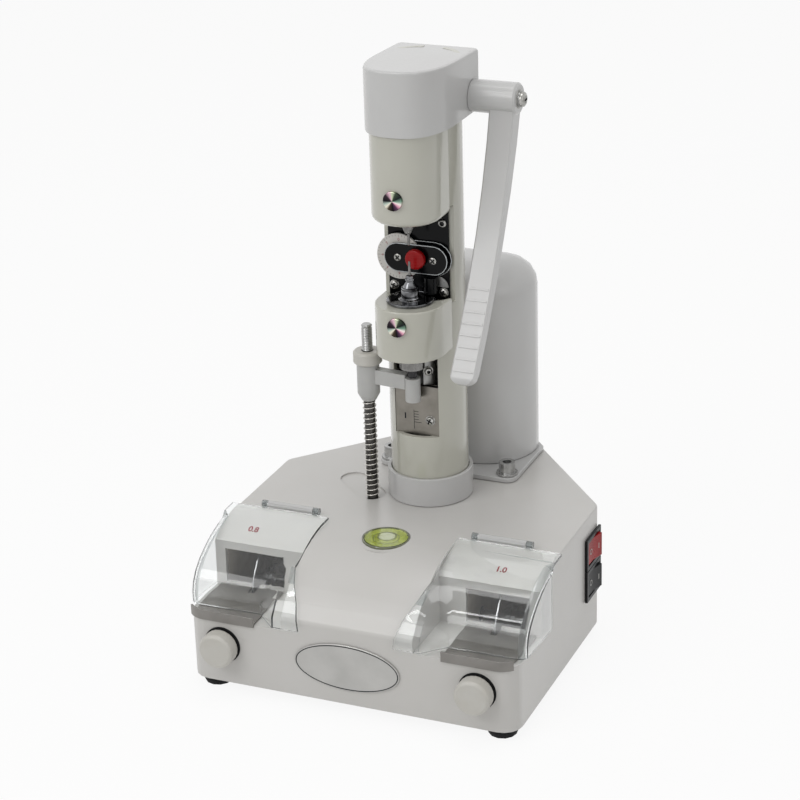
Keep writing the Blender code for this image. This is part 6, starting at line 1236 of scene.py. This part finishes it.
@dataclass
class DepthStop:
    """The depth stop: the rod with its spring, the bracket, its nut, and the scale.

    Attributes:
        spring_keep: how much of the spring's length is left when the feed is down; not used.
        long_share: how much longer the scale's last tick is.
        scale_turn: the way in which the scale's screw stopped turning.
        clamp_slope: the way in which the clamp's screw faces, seen from above.
    """

    edge: float = 0.3 * MM
    rod_x: float = -36.3 * MM
    rod_y: float = -25.5 * MM
    rod_radius: float = 4.0 * MM
    rod_bottom: float = 98.3 * MM
    rod_top: float = 241.0 * MM
    rod_chamfer: float = 0.9 * MM
    thread_bottom: float = 221.4 * MM
    thread_pitch: float = 1.25 * MM
    thread_depth: float = 0.55 * MM
    spring_bottom: float = 103.9 * MM
    spring_top: float = 181.4 * MM
    spring_radius: float = 4.62 * MM
    spring_wire: float = 0.9 * MM
    spring_turns: int = 19
    spring_anchor: float = 103.2 * MM
    spring_keep: float = 0.8985
    pin_y: float = -29.0 * MM
    knurl_radius: float = 3.3 * MM
    knurl_bands: tuple[tuple[float, float], ...] = ((206.0 * MM, 209.2 * MM), (209.9 * MM, 213.1 * MM))
    knurl_teeth: int = 20
    knurl_depth: float = 0.35 * MM
    scale_front: float = -22.2 * MM
    scale_depth: float = 1.0 * MM
    scale_half: float = 16.8 * MM
    scale_ends: tuple[float, float] = (157.4 * MM, 196.4 * MM)
    line_x: float = -2.6 * MM
    line_ends: tuple[float, float] = (162.2 * MM, 177.2 * MM)
    line_width: float = 0.40 * MM
    tick_top: float = 176.0 * MM
    tick_pitch: float = 2.1 * MM
    tick_length: float = 3.6 * MM
    tick_count: int = 5
    long_share: float = 1.6
    figure: tuple[float, float] = (-9.4 * MM, 171.6 * MM)
    figure_height: float = 6.0 * MM
    figure_bold: float = 0.25 * MM
    scale_screw_place: tuple[float, float] = (10.2 * MM, 170.4 * MM)
    scale_turn: tuple[float, float, float] = (1.0, 0.0, 2.0)
    scale_screw: Screw = Screw(3.0 * MM, 2.0 * MM, reach=2.2 * MM, width=1.2 * MM, washer=3.8 * MM)
    clamp_point: tuple[float, float, float] = (7.9 * MM, -18.75 * MM, 207.6 * MM)
    clamp_slope: tuple[float, float] = (0.53, -0.85)
    clamp_screw: Screw = Screw(2.9 * MM, 2.4 * MM, Recess.HEXAGON, 2.6 * MM, sink=1.6 * MM, washer=3.7 * MM)

    def build(self) -> None:
        """Dress the stop and add the thread, the spring, the knurl and the scale's print."""
        finer("bracket", GREY_PAINT, self.edge)
        finer("bracket_pin", DARK_STEEL, self.edge / 2)
        finer("stop_nut", IVORY_PLASTIC, self.edge)
        finer("quill_clamp", ALUMINIUM, self.edge)
        finer("scale_plate", SCALE_STEEL, self.edge / 2)
        self.cut_thread()
        self.wind_spring()
        self.knurl_pin()
        self.face_scale()
        self.print_scale()
        screws = bmesh.new()
        x, height = self.scale_screw_place
        self.scale_screw.add(screws, place_on(spot(x, self.scale_front, height), -BACK, Vector(self.scale_turn)))
        self.clamp_screw.add(screws, place_on(spot(*self.clamp_point), Vector((*self.clamp_slope, 0.0))))
        finish_piece("scale_screws", screws, SCREW_STEEL, RECESS_PAINTED_SHADE)

    def cut_thread(self) -> None:
        """Turn the rod, with the fine thread that the nut runs on."""
        crest, root = self.rod_radius, self.rod_radius - self.thread_depth
        count = int((self.rod_top - self.rod_chamfer - self.thread_bottom) / self.thread_pitch)
        thread = [point for index in range(count)
                  for point in ((crest, self.thread_bottom + index * self.thread_pitch),
                                (root, self.thread_bottom + (index + 0.5) * self.thread_pitch))]
        build = bmesh.new()
        add_spun(build, [(0.0, self.rod_bottom), (crest, self.rod_bottom), *thread,
                         (crest, self.rod_top - self.rod_chamfer), (crest - self.rod_chamfer, self.rod_top),
                         (0.0, self.rod_top)], Matrix.Translation(spot(self.rod_x, self.rod_y, 0.0)))
        # Faces below the thread get the rod's painted shade, and the thread above stays bright.
        for face in build.faces:
            face.material_index = int(face.calc_center_median().z > self.thread_bottom)
        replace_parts(finish_piece("guide_rod_thread", build, ROD_PAINTED_SHADE, BRIGHT_STEEL, smooth=FINE_ANGLE), "guide_rod")

    def wind_spring(self) -> None:
        """Wind the spring round the guide rod."""
        build = bmesh.new()
        steps = self.spring_turns * SPRING_STEPS
        start = (Matrix.Translation((self.spring_radius, 0.0, self.spring_bottom))
                 @ Matrix.Rotation(math.pi / 2, 4, "X"))
        bmesh.ops.create_circle(build, cap_ends=True, radius=self.spring_wire / 2, segments=WIRE_STEPS, matrix=start)
        rise = (self.spring_top - self.spring_bottom) / steps
        bmesh.ops.spin(build, geom=build.verts[:] + build.edges[:] + build.faces[:], cent=(0, 0, 0), axis=(0, 0, 1),
                       dvec=(0, 0, rise), angle=math.tau * self.spring_turns, steps=steps)
        bmesh.ops.transform(build, matrix=Matrix.Translation(spot(self.rod_x, self.rod_y, 0.0)), verts=build.verts)
        bmesh.ops.recalc_face_normals(build, faces=build.faces)
        spring = finish_piece("rod_spring_wire", build, SPRING_STEEL)
        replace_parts(spring, "rod_spring")
        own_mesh(spring)

    def knurl_pin(self) -> None:
        """Roll two bands of teeth round the bracket pin's head."""
        build = bmesh.new()
        for low, high in self.knurl_bands:
            place = Matrix.Translation(spot(0.0, self.pin_y, low))
            ring = bmesh.ops.create_circle(build, cap_ends=True, radius=self.knurl_radius,
                                           segments=2 * self.knurl_teeth, matrix=place)["verts"]
            middle = place.translation
            for vert in ring[::2]:
                vert.co = middle + (vert.co - middle) * (1.0 - self.knurl_depth / self.knurl_radius)
            raise_faces(build, ring[0].link_faces[:1], UP * (high - low))
        bmesh.ops.recalc_face_normals(build, faces=build.faces)
        finish_piece("bracket_pin_knurl", build, DARK_STEEL, body="lower_feed", smooth=FINE_ANGLE)

    def face_scale(self) -> None:
        """Set the brushed sheet that carries the scale into the column's slot."""
        build = bmesh.new()
        low, high = self.scale_ends
        middle = spot(0.0, self.scale_front + self.scale_depth / 2, (low + high) / 2)
        size = Matrix.Diagonal((2 * self.scale_half, self.scale_depth, high - low, 1.0))
        bmesh.ops.create_cube(build, size=1.0, matrix=Matrix.Translation(middle) @ size)
        round_edges(build, self.edge / 2)
        finish_piece("scale_face", build, SCALE_STEEL)

    def print_scale(self) -> None:
        """Print the scale's line, ticks and figure."""
        build = bmesh.new()
        face = place_on(spot(0.0, self.scale_front, 0.0), -BACK)
        low, high = self.line_ends
        add_bar(build, (self.line_x, (low + high) / 2), (self.line_width, high - low), face)
        for index in range(self.tick_count):
            length = self.tick_length * (self.long_share if index == self.tick_count - 1 else 1.0)
            height = self.tick_top - index * self.tick_pitch
            add_bar(build, (self.line_x + length / 2, height), (length, self.line_width), face)
        add_words(build, "1", self.figure_height, face @ Matrix.Translation((*self.figure, 0.0)),
                  self.figure_bold)
        finish_piece("scale_marks", build, BLACK_INK)


@dataclass(frozen=True)
class Lamp:
    """A soft box.

    Attributes:
        name: the lamp's name.
        place: where it hangs.
        size: its width and height.
        power: its power in watts.
    """

    name: str
    place: tuple[float, float, float]
    size: tuple[float, float]
    power: float

    def hang(self, aim: Vector) -> None:
        """Hang the lamp.

        Args:
            aim: the point that it faces.
        """
        data = bpy.data.lights.new(self.name, "AREA")
        data.shape = "RECTANGLE"
        data.size, data.size_y = self.size
        data.energy = self.power
        lamp = bpy.data.objects.new(self.name, data)
        bpy.context.scene.collection.objects.link(lamp)
        towards = aim - Vector(self.place)
        lamp.matrix_world = Matrix.Translation(self.place) @ towards.to_track_quat("-Z", "Y").to_matrix().to_4x4()


@dataclass
class Studio:
    """The pale floor, the soft lamps and the camera at the photograph's angle.

    Attributes:
        eye: where the camera stands.
        target: what it looks at.
        roll: how far it is turned about its own axis, in degrees.
        lens: its focal length on a 36 mm sensor.
        clip: how far it sees.
        aim: the point that the lamps face.
        lamps: the soft boxes.
        surround: how strongly the room lights the machine.
        floor_half: half the floor's side.
        floor_glow: how much of the floor is plain white, where the rest takes the shadow.
        floor_colour: the floor's own colour.
        white: the backdrop's colour.
    """

    eye: Vector = field(default_factory=lambda: Vector((0.6231, -1.4621, 0.8567)))
    target: Vector = field(default_factory=lambda: Vector((-0.0230, 0.0255, 0.1731)))
    roll: float = -1.808
    lens: float = 107.63
    clip: float = 50.0
    aim: Vector = field(default_factory=lambda: Vector((0.0, 0.0, 0.2)))
    lamps: tuple[Lamp, ...] = (Lamp("key", (-0.80, -1.50, 1.40), (1.5, 0.7), 8.9),
                               Lamp("top", (0.1, 0.1, 2.6), (1.4, 1.4), 15.8),
                               Lamp("strip", (-0.55, -1.25, 1.95), (1.2, 0.12), 3.6),
                               Lamp("fill", (1.6, -0.9, 0.7), (1.0, 1.0), 1.8))
    surround: float = 0.41
    floor_half: float = 6.0
    floor_glow: float = 0.91
    floor_colour: str = "#F2F2F1"
    white: str = "#FFFFFF"

    def build(self) -> None:
        """Set up the camera, the floor, the backdrop and the lamps."""
        self.set_camera()
        self.lay_floor()
        self.light()
        bpy.context.scene.view_settings.view_transform = "Standard"

    def set_camera(self) -> None:
        """Stand the camera where the photographer stood."""
        data = bpy.data.cameras.new("camera")
        data.lens = self.lens
        data.clip_end = self.clip
        camera = bpy.data.objects.new("camera", data)
        bpy.context.scene.collection.objects.link(camera)
        look = (self.target - self.eye).to_track_quat("-Z", "Y").to_matrix().to_4x4()
        turn = Matrix.Rotation(math.radians(self.roll), 4, "Z")
        camera.matrix_world = Matrix.Translation(self.eye) @ look @ turn
        bpy.context.scene.camera = camera

    def pale_surface(self) -> bpy.types.Material:
        """Make a matt white floor that reads as white, and keeps the machine's shadow.

        Returns:
            The floor's material.
        """
        made = bpy.data.materials.new("studio_floor")
        made.use_nodes = True
        tree = made.node_tree
        tree.nodes.remove(tree.nodes["Principled BSDF"])
        matt = add_node(tree, "BsdfDiffuse", values={"Color": linear(self.floor_colour)})
        glow = add_node(tree, "Emission", values={"Color": linear(self.white), "Strength": 1.0})
        path = add_node(tree, "LightPath")
        seen = self.seen(tree, path)
        share = add_node(tree, "Math", {0: seen}, {1: self.floor_glow}, operation="MULTIPLY")
        mix = add_node(tree, "MixShader", {0: share.outputs[0], 1: matt.outputs[0], 2: glow.outputs[0]})
        tree.links.new(mix.outputs[0], tree.nodes["Material Output"].inputs["Surface"])
        return made

    @staticmethod
    def seen(tree: bpy.types.NodeTree, path: bpy.types.Node) -> bpy.types.NodeSocket:
        """Tell rays that show the backdrop from those that light the machine.

        Args:
            tree: the node tree.
            path: its Light Path node.

        Returns:
            A socket with one for the first kind and zero for the second.
        """
        first = add_node(tree, "Math", {0: path.outputs["Is Camera Ray"], 1: path.outputs["Is Glossy Ray"]},
                         operation="MAXIMUM")
        both = add_node(tree, "Math", {0: first.outputs[0], 1: path.outputs["Is Transmission Ray"]},
                        operation="MAXIMUM")
        direct = add_node(tree, "Math", {0: path.outputs["Diffuse Depth"]}, {1: 0.5}, operation="LESS_THAN")
        return add_node(tree, "Math", {0: both.outputs[0], 1: direct.outputs[0]}, operation="MULTIPLY").outputs[0]

    def lay_floor(self) -> None:
        """Lay the pale floor just under the feet."""
        build = bmesh.new()
        bmesh.ops.create_grid(build, x_segments=1, y_segments=1, size=self.floor_half)
        mesh = bpy.data.meshes.new("floor")
        build.to_mesh(mesh)
        build.free()
        mesh.materials.append(self.pale_surface())
        floor = bpy.data.objects.new("floor", mesh)
        bpy.context.scene.collection.objects.link(floor)

    def light(self) -> None:
        """Hang soft lamps and set the world to a pale surround."""
        world = bpy.data.worlds.new("studio")
        world.use_nodes = True
        bpy.context.scene.world = world
        tree = world.node_tree
        shade = tree.nodes["Background"]
        shade.inputs["Color"].default_value = linear(self.white)
        path = add_node(tree, "LightPath")
        level = add_node(tree, "MapRange", {"Value": self.seen(tree, path)}, {"To Min": self.surround, "To Max": 1.0})
        tree.links.new(level.outputs[0], shade.inputs["Strength"])
        for lamp in self.lamps:
            lamp.hang(self.aim)


def main() -> None:
    """Build every sub-assembly in order and log each piece."""
    logging.basicConfig(level=logging.INFO, format="%(name)s: %(message)s")
    assemblies = (Studio(), Casing(), Level(), Switches(), Station(Side.LEFT, "0.8"), Station(Side.RIGHT, "1.0"),
                  Stand(), Heads(), Gauge(), DepthStop())
    for assembly in assemblies:
        LOG.info("building %s", type(assembly).__name__)
        assembly.build()


if __name__ == "__main__":
    main()
